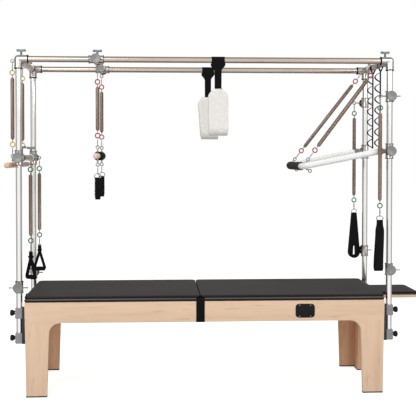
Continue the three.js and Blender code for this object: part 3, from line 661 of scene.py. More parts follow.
def lathe(profile: Outline, foot: Vector, toward: Vector,
          sides: int = 40, edge: float = 0.7) -> Piece:
    """A turned piece: a disc extruded and resized from station to station.

    Args:
        profile: Stations as (distance along, radius).
        foot: Where the distances start.
        toward: The direction they run in.
        sides: Facets round it.
        edge: The rounding of its sharp rims, or 0.

    Returns:
        The piece.
    """
    deselect()
    level, radius = profile[0]
    bpy.ops.mesh.primitive_circle_add(vertices=sides, radius=radius, fill_type="NGON")
    obj = bpy.context.object
    bpy.ops.object.mode_set(mode="EDIT")
    bpy.ops.mesh.select_all(action="SELECT")
    for along, wide in profile[1:]:
        extrude((0, 0, along - level))
        if wide != radius:
            share = wide / radius
            bpy.ops.transform.resize(value=(share, share, 1))
        level, radius = along, wide
    even_normals()
    put(obj, Matrix.Translation((0, 0, profile[0][0])))
    if edge:
        ease(obj, edge)
    return put(obj, aim(foot, toward))


def bar(start: Vector, end: Vector, radius: float, sides: int = 32, edge: float = 0.8) -> Piece:
    """A round bar with eased rims.

    Args:
        start: One end.
        end: The other end.
        radius: Its radius.
        sides: Facets round it.
        edge: The rounding of its rims.

    Returns:
        The piece.
    """
    deselect()
    length = (end - start).length
    bpy.ops.mesh.primitive_cylinder_add(vertices=sides, radius=radius, depth=length, end_fill_type="NGON")
    obj = bpy.context.object
    pick(obj, "FACE", lambda middle, normal: abs(normal.z) > 0.9)
    bpy.ops.mesh.inset(thickness=edge, depth=0)
    close()
    put(obj, Matrix.Translation((0, 0, length / 2)))
    ease(obj, edge * 0.6)
    return put(obj, aim(start, end - start))


def tube(start: Vector, end: Vector, radius: float, wall: float, sides: int = 48) -> Piece:
    """A tube with open ends.

    Args:
        start: One end.
        end: The other end.
        radius: Its outer radius.
        wall: Its wall thickness.
        sides: Facets round it.

    Returns:
        The piece.
    """
    deselect()
    length = (end - start).length
    bpy.ops.mesh.primitive_cylinder_add(vertices=sides, radius=radius, depth=length, end_fill_type="NGON")
    obj = bpy.context.object
    pick(obj, "FACE", lambda middle, normal: abs(normal.z) > 0.9)
    bpy.ops.mesh.inset(thickness=wall, depth=0)
    for sign in (-1, 1):
        pick(obj, "FACE",
             lambda middle, normal, sign=sign: normal.z * sign > 0.9 and middle.xy.length < 0.1)
        extrude((0, 0, -sign * radius * 2))
    even_normals()
    put(obj, Matrix.Translation((0, 0, length / 2)))
    return put(obj, aim(start, end - start))


def wire(points: Sequence[Vector], radius: float, closed: bool = False, sides: int = 10) -> Piece:
    """A round wire along points.

    Args:
        points: The points.
        radius: The wire's radius.
        closed: Whether it closes on itself.
        sides: Facets round it, an even number.

    Returns:
        The piece, as a mesh.
    """
    deselect()
    bpy.ops.curve.primitive_nurbs_path_add()
    curve = bpy.context.object.data
    curve.splines.clear()
    spline = curve.splines.new("POLY")
    spline.points.add(len(points) - 1)
    for knot, point in zip(spline.points, points):
        knot.co = (*point, 1)
    spline.use_cyclic_u = closed
    curve.dimensions = "3D"
    curve.twist_mode = "MINIMUM"
    curve.bevel_depth = radius
    curve.bevel_resolution = sides // 2 - 2
    curve.use_fill_caps = not closed
    bpy.ops.object.convert(target="MESH")
    return bpy.context.object


def ring(middle: Vector, radius: float, thick: float, hole: Vector,
         steps: int = 32, sides: int = 10) -> Piece:
    """A ring of round wire with a small weld.

    Args:
        middle: Its middle.
        radius: From the middle to the wire's own middle.
        thick: The wire's radius.
        hole: The direction of its hole.
        steps: Facets round the ring.
        sides: Facets round the wire.

    Returns:
        The piece.
    """
    deselect()
    bpy.ops.mesh.primitive_torus_add(major_radius=radius, minor_radius=thick,
                                     major_segments=steps, minor_segments=sides)
    obj = bpy.context.object
    reach = math.pi * 1.4 / steps
    pick(obj, "VERT", lambda place, normal: abs(math.atan2(place.y, place.x)) < reach)
    bpy.ops.transform.shrink_fatten(value=-thick * 0.1)
    close()
    return put(obj, aim(middle, hole))


def outline_face(points: Outline, filled: bool) -> Piece:
    """A closed outline on the ground, started from a circle.

    Args:
        points: Its corners.
        filled: Whether it has a face.

    Returns:
        The outline, selected all over in edit mode.
    """
    deselect()
    fill = "NGON" if filled else "NOTHING"
    bpy.ops.mesh.primitive_circle_add(vertices=len(points), radius=1, fill_type=fill)
    obj = bpy.context.object
    for vertex, (x, y) in zip(obj.data.vertices, points):
        vertex.co = (x, y, 0)
    bpy.ops.object.mode_set(mode="EDIT")
    bpy.ops.mesh.select_mode(type="VERT")
    bpy.ops.mesh.select_all(action="SELECT")
    return obj


def slab(points: Outline, thick: float, edge: float = 1.0,
         segments: int = 2) -> Piece:
    """A flat plate with eased edges, from zero up.

    Args:
        points: Its outline.
        thick: Its thickness.
        edge: The rounding of its edges.
        segments: The rounding's steps.

    Returns:
        The plate.
    """
    obj = outline_face(points, True)
    extrude((0, 0, thick))
    even_normals()
    return ease(obj, edge, segments) if edge else obj


def band(points: Outline, width: float, thick: float, closed: bool = True,
         rows: int = 3, edge: float = 0.8) -> Piece:
    """A strap bent along an outline in the XZ plane, its width along Y.

    Args:
        points: The outline as (x, z).
        width: The strap's width.
        thick: Its thickness.
        closed: Whether the outline closes.
        rows: Rows of faces across the width.
        edge: The rounding of its edges.

    Returns:
        The strap.
    """
    obj = outline_face(points, False)
    if not closed:
        bpy.ops.mesh.select_mode(type="EDGE")
        mesh = bmesh.from_edit_mesh(obj.data)
        mesh.verts.ensure_lookup_table()
        ends = {mesh.verts[0], mesh.verts[len(points) - 1]}
        for side in mesh.edges:
            side.select_set(set(side.verts) == ends)
        bmesh.update_edit_mesh(obj.data)
        bpy.ops.mesh.delete(type="EDGE")
        bpy.ops.mesh.select_all(action="SELECT")
    for _ in range(rows):
        extrude((0, 0, width / rows))
    close()
    turn = Matrix(((1, 0, 0, 0), (0, 0, 1, -width / 2), (0, 1, 0, 0), (0, 0, 0, 1)))
    put(obj, turn)
    pick(obj, "FACE", lambda middle, normal: True)
    bpy.ops.mesh.normals_make_consistent(inside=False)
    close()
    apply(obj, "SOLIDIFY", thickness=thick, offset=-1)
    return ease(obj, edge) if edge else obj


def block(low: Point, high: Point, edge: float = 2.0, panel: float = 0.0) -> Piece:
    """A block with eased edges, and a sunk panel on its front and back if asked.

    Args:
        low: Its lowest corner.
        high: Its highest corner.
        edge: The rounding of its edges.
        panel: The width of the rim round the sunk panels, or 0.

    Returns:
        The block.
    """
    size = Vector(high) - Vector(low)
    obj = slab([(0, 0), (size.x, 0), (size.x, size.y), (0, size.y)], size.z, 0)
    if panel:
        pick(obj, "FACE", lambda middle, normal: abs(normal.y) > 0.9)
        bpy.ops.mesh.inset(thickness=panel, depth=-1.2, use_individual=True)
        close()
    ease(obj, edge)
    return put(obj, Matrix.Translation(low))


def finished(obj: Piece, name: str) -> Piece:
    """Takes a piece from the table's millimetres to the row's metres, smooths it and names it.

    Args:
        obj: The piece.
        name: Its name.

    Returns:
        The piece.
    """
    put(obj, Matrix.Translation(ROW_SHIFT) @ Matrix.Scale(TO_METRES, 4))
    only(obj)
    bpy.ops.object.shade_smooth_by_angle(angle=SHARP)
    obj.name = name
    obj.data.name = name
    return obj


def settle(obj: Piece, name: str, body: str, nodes: Iterable[str] = ()) -> Piece:
    """Finishes a piece and puts it on its body.

    Args:
        obj: The piece.
        name: Its name.
        body: The body that it rides on.
        nodes: The nodes that it stands for.

    Returns:
        The piece.
    """
    finished(obj, name)
    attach(obj, body)
    names = list(nodes)
    if names:
        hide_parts(*names)
    LOG.info("%s: %d faces on %s", name, len(obj.data.polygons), body)
    return obj


def softened(node: str, name: str, finish: Finish, body: str, width: float) -> Piece:
    """A node's own shape with its edges eased.

    Args:
        node: The node.
        name: The piece's name.
        finish: Its finish.
        body: The body that it rides on.
        width: The rounding in millimetres.

    Returns:
        The piece, which replaces the node.
    """
    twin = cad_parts[node].copy()
    twin.data = twin.data.copy()
    twin.parent = None
    twin.matrix_world = Matrix.Identity(4)
    bpy.context.collection.objects.link(twin)
    open_all(twin)
    bpy.ops.mesh.remove_doubles(threshold=0.00002)
    bpy.ops.mesh.dissolve_limited(angle_limit=math.radians(1))
    close()
    put(twin, Matrix.Scale(1 / TO_METRES, 4) @ Matrix.Translation(-ROW_SHIFT))
    ease(twin, width, 3)
    coloured(twin, finish)
    return settle(twin, name, body, [node])


def belt(low: float, high: float, height: float, steps: int = 14) -> list[tuple[float, float]]:
    """The outline of a belt round two circles, one above the other.

    Args:
        low: The lower circle's radius.
        high: The upper circle's radius.
        height: From the lower middle, at zero, to the upper.
        steps: Steps round each circle.

    Returns:
        The outline.
    """
    lean = math.asin((low - high) / height)
    arc = math.pi - 2 * lean
    top = [lean + arc * i / steps for i in range(steps + 1)]
    under = [math.pi - lean + (math.pi + 2 * lean) * i / steps for i in range(steps + 1)]
    return ([(high * math.cos(a), height + high * math.sin(a)) for a in top]
            + [(low * math.cos(a), low * math.sin(a)) for a in under])


def dense(points: Outline, step: float) -> list[tuple[float, float]]:
    """A closed outline with points added along its long sides.

    Args:
        points: The outline.
        step: The longest side that stays as it is.

    Returns:
        The outline.
    """
    full = []
    for start, end in zip(points, [*points[1:], points[0]]):
        count = max(1, math.ceil(math.dist(start, end) / step))
        full += [tuple(a + (b - a) * i / count for a, b in zip(start, end)) for i in range(count)]
    return full


def smooth(value: float, low: float, high: float) -> float:
    """A soft step from 0 to 1 between two numbers."""
    share = min(max((value - low) / (high - low), 0), 1)
    return share * share * (3 - 2 * share)


def rounded(corners: Sequence[tuple[float, float, float]], steps: int = 6) -> list[tuple[float, float]]:
    """An outline with rounded corners.

    Args:
        corners: Corners as (x, y, radius).
        steps: Steps round each corner.

    Returns:
        The outline.
    """
    points = []
    count = len(corners)
    for i, (x, y, radius) in enumerate(corners):
        corner = Vector((x, y))
        back = (Vector(corners[i - 1][:2]) - corner).normalized()
        ahead = (Vector(corners[(i + 1) % count][:2]) - corner).normalized()
        if radius <= 0:
            points.append((x, y))
            continue
        half = back.angle(ahead) / 2
        start = corner + back * radius / math.tan(half)
        end = corner + ahead * radius / math.tan(half)
        for step in range(steps + 1):
            share = step / steps
            bend = start.lerp(corner, share).lerp(corner.lerp(end, share), share)
            points.append((bend.x, bend.y))
    return points


def rectangle(half_x: float, half_y: float, radius: float, steps: int = 6) -> list[tuple[float, float]]:
    """A rounded rectangle about zero."""
    return rounded([(half_x, -half_y, radius), (half_x, half_y, radius),
                    (-half_x, half_y, radius), (-half_x, -half_y, radius)], steps)


# Hardware


@dataclass
class Hardware:
    """Small metal parts that repeat all over the frame: each is modelled once and copied."""

    eye_radius: float = 10.0
    eye_wire: float = 3.0
    ring_radius: float = 14.5
    ring_wire: float = 3.8
    masters: dict[str, Piece] = field(default_factory=dict)

    def master(self, key: str, build: Callable[[], Piece]) -> Piece:
        """A part modelled the first time it is asked for, and kept so that copies can be made of it."""
        if key not in self.masters:
            self.masters[key] = build()
        return self.masters[key]

    def clear(self) -> None:
        """Removes the models that copies were made from."""
        for master in self.masters.values():
            bpy.data.objects.remove(master, do_unlink=True)
        self.masters.clear()

    def snap_hook(self) -> Piece:
        """A snap hook that hangs from zero, its hole along X.

        Returns:
            The hook.
        """
        def build() -> Piece:
            """Models the part."""
            side = [(3.6, -6.2), (5.0, -10), (6.2, -22), (8.4, -40), (8.8, -50), (6.6, -58)]
            shape = [(0, -4.6), *side, (0, -61.6), *((-y, z) for y, z in reversed(side))]
            bow = wire([Vector((0, y, z)) for y, z in shape], 1.9, closed=True)
            gate = lathe([(0, 2.1), (3, 2.9), (15, 2.9), (18, 2.1)], Vector((0, 7.6, -38)),
                         Vector((0, -0.19, 1)), 16, 0.3)
            hub = lathe([(0, 2.2), (2, 3.4), (7, 3.4), (9, 2.2)], Vector((0, 0, -62)), Way.Z.value, 16, 0.3)
            return coloured(joined([bow, gate, hub]), FINISHES.bright_steel)
        return self.master("snap", build)

    def colour_ring(self, finish: Finish) -> Piece:
        """A coloured ring whose hole runs along Y, about zero."""
        return self.master(finish.name, lambda: coloured(
            ring(ORIGIN, self.ring_radius, self.ring_wire, Way.Y.value), finish))

    def eye(self) -> Piece:
        """An eyebolt about its eye's middle, its shank upward and its hole along Y.

        Returns:
            The eyebolt.
        """
        def build() -> Piece:
            """Models the part."""
            loop = ring(ORIGIN, self.eye_radius, self.eye_wire, Way.Y.value)
            shank = lathe([(7.5, 3.2), (12, 4), (37, 4)], ORIGIN, Way.Z.value, 20, 0.4)
            nut = lathe([(22, 7.5), (28, 7.5)], ORIGIN, Way.Z.value, 6, 0.6)
            return coloured(joined([loop, shank, nut]), FINISHES.bright_steel)
        return self.master("eye", build)

    def eye_at(self, middle: Vector, turn: float) -> Piece:
        """A copy of the eyebolt, hanging or turned about Y."""
        return copied(self.eye(), Matrix.Translation(middle) @ Matrix.Rotation(math.radians(turn), 4, "Y"))

    def disc_clamp(self) -> Piece:
        """A disc faced clamp that points along +Z from a tube's axis.

        Returns:
            The clamp.
        """
        def build() -> Piece:
            """Models the part."""
            neck = coloured(lathe([(10, 19), (40, 19), (41, 20.5), (45, 20.5), (46, 19), (48, 19)],
                                  ORIGIN, Way.Z.value, 40, 0.5), FINISHES.fitting_alloy)
            gasket = coloured(lathe([(44, 24), (48, 27)], ORIGIN, Way.Z.value, 40, 0.6),
                              FINISHES.black_rubber)
            face = [(48, 29), (49.5, 31), (57, 31), (60, 28.5), (60, 27), (59.2, 26), (59.2, 3),
                    (58.2, 2.4)]
            disc = coloured(lathe(face, ORIGIN, Way.Z.value, 56, 0.4), FINISHES.disc_alloy)
            return joined([neck, gasket, disc])
        return self.master("clamp", build)

    def clamp_at(self, foot: Vector, depth: Depth) -> Piece:
        """A copy of the disc faced clamp on a tube."""
        return copied(self.disc_clamp(), aim(foot, Way.Y.value * depth.value))

    def sleeve(self, foot: Vector, toward: Vector, length: float, radius: float = 26.0,
               gasket: bool = False) -> Piece:
        """A sleeve on a tube, flanged at both ends.

        Args:
            foot: Its first end, on the tube's axis.
            toward: The way it runs.
            length: Its length.
            radius: Its radius.
            gasket: Whether black rings close its mouths.

        Returns:
            The sleeve.
        """
        wall = radius - 1.6
        body = lathe([(0, 20), (0, radius), (5, radius), (6.5, wall), (length - 6.5, wall),
                      (length - 5, radius), (length, radius), (length, 20)], foot, toward, 48, 0.6)
        coloured(body, FINISHES.fitting_alloy)
        if not gasket:
            return body
        parts = [body]
        proud = radius + 0.4
        for low in (-1.5, length - 1.5):
            seal = lathe([(low, 20), (low, proud), (low + 3, proud), (low + 3, 20)], foot, toward, 48, 0.5)
            parts.append(coloured(seal, FINISHES.black_rubber))
        return joined(parts)

    def socket(self, wall: Outline, reach: float, lip: float, foot: Vector, toward: Vector) -> list[Piece]:
        """A socket round a tube, with the black seal in its mouth."""
        rim = [(reach - lip, 19.4), (reach - lip, 26.2), (reach - 1, 26.2), (reach, 25), (reach, 19.2)]
        return [coloured(lathe(wall, foot, toward, 48, 0.5), FINISHES.fitting_alloy),
                coloured(lathe(rim, foot, toward, 48, 0.5), FINISHES.black_rubber)]

    def anchor(self, turn: float) -> Piece:
        """A clamp collar round a tube along Y, with a T screw on top and an eyebolt.

        Args:
            turn: The eyebolt's turn about Y.

        Returns:
            The anchor, about the tube's axis.
        """
        def build() -> Piece:
            """Models the part."""
            collar = lathe(even([(13, 19.6), (13, 23.4), (11.4, 25), (1, 25), (1, 24.2)]), ORIGIN,
                           Way.Y.value, 48, 0.4)
            coloured(collar, FINISHES.fitting_alloy)
            boss = lathe([(22, 10.5), (33, 10.5), (36, 8.5)], ORIGIN, Way.Z.value, 28, 0.8)
            stem = lathe([(32, 6.6), (54, 6.6), (58, 8.4), (65, 8.4)], ORIGIN, Way.Z.value, 24, 0.5)
            head = lathe(even([(29, 5.4), (27, 7.8), (17, 7.8), (8, 6.6)]), Vector((0, 0, 67)),
                         Way.X.value, 24, 0.6)
            screw = coloured(joined([boss, stem, head]), FINISHES.disc_alloy)
            hanging = self.eye_at(Way.DOWN.value * LAYOUT.eye_reach, 0)
            put(hanging, Matrix.Rotation(math.radians(turn), 4, "Y"))
            return joined([collar, screw, hanging])
        return self.master(f"anchor{turn}", build)

    def anchors(self, middle: Vector, turn: float) -> list[Piece]:
        """The two anchors of a cross tube."""
        spots = [middle + Way.Y.value * LAYOUT.anchor_y * depth.value for depth in Depth]
        return [copied(self.anchor(turn), Matrix.Translation(spot)) for spot in spots]

    def knob(self) -> Piece:
        """A six lobed black knob with its stud, which points along +Z from zero.

        Returns:
            The knob.
        """
        def build() -> Piece:
            """Models the part."""
            grip = lathe([(5, 11), (9, 14), (17, 18.5), (27, 19.4), (31, 17.5), (33.6, 12), (34, 6)],
                         ORIGIN, Way.Z.value, 48, 0.6)
            for vertex in grip.data.vertices:
                angle = math.atan2(vertex.co.y, vertex.co.x)
                share = 1 - 0.13 * max(0, math.cos(6 * angle)) * min(1, vertex.co.xy.length / 14)
                vertex.co.x *= share
                vertex.co.y *= share
            coloured(grip, FINISHES.black_plastic)
            stud = coloured(lathe([(-4, 6), (8, 6)], ORIGIN, Way.Z.value, 24, 0.5), FINISHES.bright_steel)
            return joined([grip, stud])
        return self.master("knob", build)


HARDWARE = Hardware()


# Sub-assemblies


@dataclass
class Base:
    """The wooden base with its deck, mats, strap, feet and bare plate."""

    length: float = 2260
    width: float = 690
    height: float = 590
    taper: float = 10
    panel: float = 28
    leg: float = 127
    end_leg: float = 105
    foot_height: float = 8
    mat_seam: float = -37
    mat_inset: float = -3
    mat_side: float = 4
    mat_height: float = 38.5
    mat_corner: float = 24
    apron: float = 129
    strap_width: float = 54
    plate_x: float = 623
    plate_z: float = 526

    def build(self) -> None:
        """Makes the whole base."""
        for depth in Depth:
            # The back board takes the maple's copy with painted shade.
            wood = FINISHES.maple if depth is Depth.FRONT else FINISHES.shaded_maple
            softened(f"side_panel_{depth.word}", f"side_board_{depth.word}", wood, "root", 2.2)
        for side in Side:
            # The end boards take the maple's copy with painted shade.
            softened(f"end_panel_{side.word}", f"end_board_{side.word}", FINISHES.shaded_maple, "root", 2.0)
        softened("deck_board", "deck_panel", FINISHES.deck_maple, "root", 1.5)
        for side in Side:
            self.mat(side)
            for depth in Depth:
                self.foot(side, depth)
        self.strap()
        self.plate()

    def foot(self, side: Side, depth: Depth) -> None:
        """A black pad round the foot of one corner.

        Args:
            side: The end.
            depth: The front or back.
        """
        proud = 0.8
        outer_x = self.length / 2 - self.taper + proud
        outer_y = self.width / 2 + proud
        inner_x = outer_x - self.leg - 2 * proud
        inner_y = outer_y - self.end_leg - self.panel - 2 * proud
        wall = self.panel + 2 * proud
        shape = [(outer_x, outer_y), (inner_x, outer_y), (inner_x, outer_y - wall),
                 (outer_x - wall, outer_y - wall), (outer_x - wall, inner_y), (outer_x, inner_y)]
        pad = slab(shape, self.foot_height, 1.4, 3)
        pad.data.transform(Matrix.Diagonal((side.value, depth.value, 1, 1)))
        open_all(pad)
        even_normals()
        settle(coloured(pad, FINISHES.black_rubber), f"foot_pad_{depth.word}_{side.word}", "root")

    def mat(self, side: Side) -> None:
        """One upholstered mat on its half of the deck.

        Args:
            side: The end.
        """
        end = side.value * (self.length / 2 - self.mat_inset)
        seam = self.mat_seam + side.value * 0.5
        middle = (end + seam) / 2
        half = abs(end - seam) / 2
        pad = upholstered(half, self.width / 2 - self.mat_side, self.mat_height, self.mat_corner)
        put(pad, Matrix.Translation((middle, 0, self.height + 0.3)))
        settle(pad, f"mat_cushion_{side.word}", "root", [f"mat_{side.word}"])

    def strap(self) -> None:
        """The black strap over the seam between the mats."""
        proud = 0.4
        face = -self.width / 2 - proud
        low = self.height - self.apron - proud
        line = [(face + 5, 612.6), (face + 4.2, 604), (face + 1.8, 596), (face - 0.6, self.height),
                (face - 0.8, 575), (face - 0.8, 520), (face - 0.8, low + 3), (face + 1, low - 1.4),
                (face + 5, low - 2), (face + 24, low - 2)]
        strip = band([(y, z) for y, z in line], self.strap_width, 1.7, closed=False, rows=3, edge=0.4)
        put(strip, Matrix.Translation((self.mat_seam, 0, 0)) @ ACROSS)
        settle(coloured(strip, FINISHES.webbing), "seam_strap", "root", ["mat_strap"])
        length = sum(math.dist(a, b) for a, b in zip(line, line[1:]))

    def plate(self) -> None:
        """The bare rounded plate on the front of the apron, with its four screws."""
        shape = rectangle(61, 44, 26, 8)
        plate = coloured(slab(shape, 2.2, 0.8), FINISHES.black_plastic)
        rim = slab(rectangle(55, 38, 21, 8), 0.6, 0.2)
        put(rim, Matrix.Translation((0, 0, 2.0)))
        coloured(rim, FINISHES.black_rubber)
        parts = [plate, rim]
        for x in (-35, 35):
            for y in (-35, 35):
                screw = lathe([(1.4, 3.6), (2.6, 3.6), (3.2, 2.4), (3.2, 1.2), (2.4, 0.8)],
                              Vector((x, y, 0)), Way.Z.value, 20, 0.2)
                parts.append(coloured(screw, FINISHES.bright_steel))
        whole = joined(parts)
        put(whole, Matrix.Translation((self.plate_x, -self.width / 2, self.plate_z)) @ UPRIGHT)
        settle(whole, "bare_plate", "root")


def upholstered(half_x: float, half_y: float, height: float, radius: float) -> Piece:
    """A mat about zero: a bevelled plane raised by insets and outsets, ring by ring.

    Args:
        half_x: Half its length.
        half_y: Half its width.
        height: Its height.
        radius: Its corners' radius.

    Returns:
        The mat, its sides in the vinyl's own black, its top painted lighter for the light it catches and
        its roll painted with a highlight.
    """
    deselect()
    bpy.ops.mesh.primitive_plane_add(size=2)
    pad = bpy.context.object
    put(pad, Matrix.Diagonal((half_x - 3, half_y - 3, 1, 1)))
    bpy.ops.object.mode_set(mode="EDIT")
    bpy.ops.mesh.select_all(action="SELECT")
    bpy.ops.mesh.bevel(offset=radius, segments=8, affect="VERTICES")
    drawn_height = 37
    unit = height / drawn_height
    wide_x, wide_y = half_x - 3, half_y - 3
    steps = [(-2.4, 2), (-1.4, 3), (-0.2, 4.4), (0.3, 3.6), (2.0, 3.6), (2.3, 2.8), (1.6, 1.4), (-2.4, 1.4),
             (-1.4, 2.8), (-0.3, 3.6), (0.7, 3.0), (1.4, 2.2), (2.4, 1.5), (4.2, 0.9), (8, 0.4), (16, 0.2),
             (30, 0.1), (50, 0.05)]
    for inward, rise in steps:
        shrink = inward * min(1, half_y / 340) if inward > 6 else inward
        extrude((0, 0, rise * unit))
        bpy.ops.transform.resize(value=((wide_x - shrink) / wide_x, (wide_y - shrink) / wide_y, 1))
        wide_x, wide_y = wide_x - shrink, wide_y - shrink
    even_normals()
    # The sides keep the vinyl's own black; the top takes the lighter copy with painted light.
    coloured(pad, FINISHES.side_vinyl)
    pad.data.materials.append(FINISHES.get(FINISHES.mat_vinyl))
    pad.data.materials.append(FINISHES.get(FINISHES.roll_vinyl))
    # Top faces take the painted lighter top; faces on the roll's upward slope take the painted highlight.
    for face in pad.data.polygons:
        on_top = face.normal.z > 0.8 and face.center.z > height * 0.8
        on_highlight_slope = 0.3 < face.normal.z < 0.8 and height * 0.34 < face.center.z < height * 0.58
        face.material_index = 1 if on_top else 2 if on_highlight_slope else 0
    return pad


@dataclass
class Frame:
    """The steel frame: posts, rails, cross tubes, corner fittings and brackets."""

    post_foot: float = 333
    socket: float = 25
    reach: float = 62

    def build(self) -> None:
        """Makes the whole frame."""
        for depth in Depth:
            self.rail(depth)
            for side in Side:
                self.post(side, depth)
                self.corner(side, depth)
                self.bracket(side, depth)
        self.cross_tube(Side.LEFT, 90)
        self.cross_tube(Side.RIGHT, LAYOUT.right_turn)

    def post(self, side: Side, depth: Depth) -> None:
        """One upright.

        Args:
            side: The end.
            depth: The front or back.
        """
        word = f"{depth.word}_{side.word}"
        place = Vector((side.value * LAYOUT.post_x, depth.value * LAYOUT.post_y, 0))
        up = Way.Z.value
        piece = tube(place + up * self.post_foot, place + up * (LAYOUT.rail_z - LAYOUT.tube_stop),
                     LAYOUT.tube_radius, LAYOUT.tube_wall)
        settle(coloured(piece, FINISHES.upright_steel), f"upright_{word}", "root", [f"post_{word}"])

    def rail(self, depth: Depth) -> None:
        """One long rail.

        Args:
            depth: The front or back.
        """
        half = LAYOUT.post_x - LAYOUT.tube_stop
        y = depth.value * LAYOUT.post_y
        piece = tube(Vector((-half, y, LAYOUT.rail_z)), Vector((half, y, LAYOUT.rail_z)),
                     LAYOUT.tube_radius, LAYOUT.tube_wall)
        coloured(piece, FINISHES.rail_steel)
        settle(piece, f"long_rail_{depth.word}", "root", [f"rail_{depth.word}"])

    def cross_tube(self, side: Side, turn: float) -> None:
        """One cross tube with its two anchors.

        Args:
            side: The end.
            turn: The eyebolts' turn about Y.
        """
        half = LAYOUT.post_y - LAYOUT.tube_stop
        middle = Vector((side.value * LAYOUT.post_x, 0, LAYOUT.rail_z))
        along = Way.Y.value * half
        piece = tube(middle - along, middle + along, LAYOUT.tube_radius, LAYOUT.tube_wall)
        whole = joined([coloured(piece, FINISHES.cross_steel), *HARDWARE.anchors(middle, turn)])
        settle(whole, f"cross_tube_{side.word}", "root", [f"top_tube_{side.word}"])

    def corner(self, side: Side, depth: Depth) -> None:
        """One three way corner fitting with black rings at its mouths.

        Args:
            side: The end.
            depth: The front or back.
        """
        word = f"{depth.word}_{side.word}"
        middle = Vector((side.value * LAYOUT.post_x, depth.value * LAYOUT.post_y, LAYOUT.rail_z))
        arms = [(Way.X.value * -side.value, self.reach), (Way.DOWN.value, self.reach),
                (Way.Y.value * -depth.value, LAYOUT.cross_reach)]
        deselect()
        bpy.ops.mesh.primitive_uv_sphere_add(segments=40, ring_count=20, radius=self.socket)
        ball = bpy.context.object
        pick(ball, "FACE", lambda place, normal: normal.z > 0.96)
        bpy.ops.mesh.inset(thickness=0.8, depth=-0.4)
        close()
        parts = [coloured(put(ball, Matrix.Translation(middle)), FINISHES.fitting_alloy)]
        for toward, reach in arms:
            wall = [(0, self.socket), (reach - 14, self.socket), (reach - 12, self.socket + 1),
                    (reach - 6, self.socket + 1), (reach - 6, 19.4)]
            parts += HARDWARE.socket(wall, reach, 7, middle, toward)
        settle(joined(parts), f"corner_{word}", "root", [f"corner_fitting_{word}"])

    def bracket(self, side: Side, depth: Depth) -> None:
        """One bracket: a dark back plate, two clamp blocks and their knobs.

        Args:
            side: The end.
            depth: The front or back.
        """
        word = f"{depth.word}_{side.word}"
        place = Vector((side.value * LAYOUT.post_x, depth.value * LAYOUT.post_y, self.post_foot))
        turn = Matrix.Diagonal((side.value, 1, 1, 1))
        lean, stand_off, tall = 10 / 590, 43.0, 224
        foot, top = stand_off - self.post_foot * lean, stand_off - (self.post_foot + tall) * lean
        plate = slab([(-foot - 1.6, 0), (-20, 0), (-20, tall), (-top - 1.6, tall)], 60, 1.5)
        put(plate, Matrix.Translation((0, 30, 0)) @ UPRIGHT)
        parts = [coloured(plate, FINISHES.back_plate)]
        for low in (0, 156):
            shell = block((-22, -25, low), (23, 25, low + 68), 5, 7)
            lip = block((-20, -25.6, low + 32), (23.6, 25.6, low + 36), 0.8)
            parts += [coloured(shell, FINISHES.bracket_alloy), coloured(lip, FINISHES.bracket_alloy)]
            parts.append(copied(HARDWARE.knob(), aim(Vector((23, 0, low + 34)), Way.X.value)))
            for y in (-17, 17):
                screw = lathe([(22, 3.6), (25, 3.6), (25, 2), (24, 1.6)], Vector((0, y, low + 12)),
                              Way.X.value, 16, 0.3)
                parts.append(coloured(screw, FINISHES.bright_steel))
        whole = put(joined(parts), Matrix.Translation(place) @ turn)
        if side is Side.LEFT:
            open_all(whole)
            bpy.ops.mesh.flip_normals()
            close()
        settle(whole, f"post_clamp_{word}", "root", [f"post_bracket_{word}"])


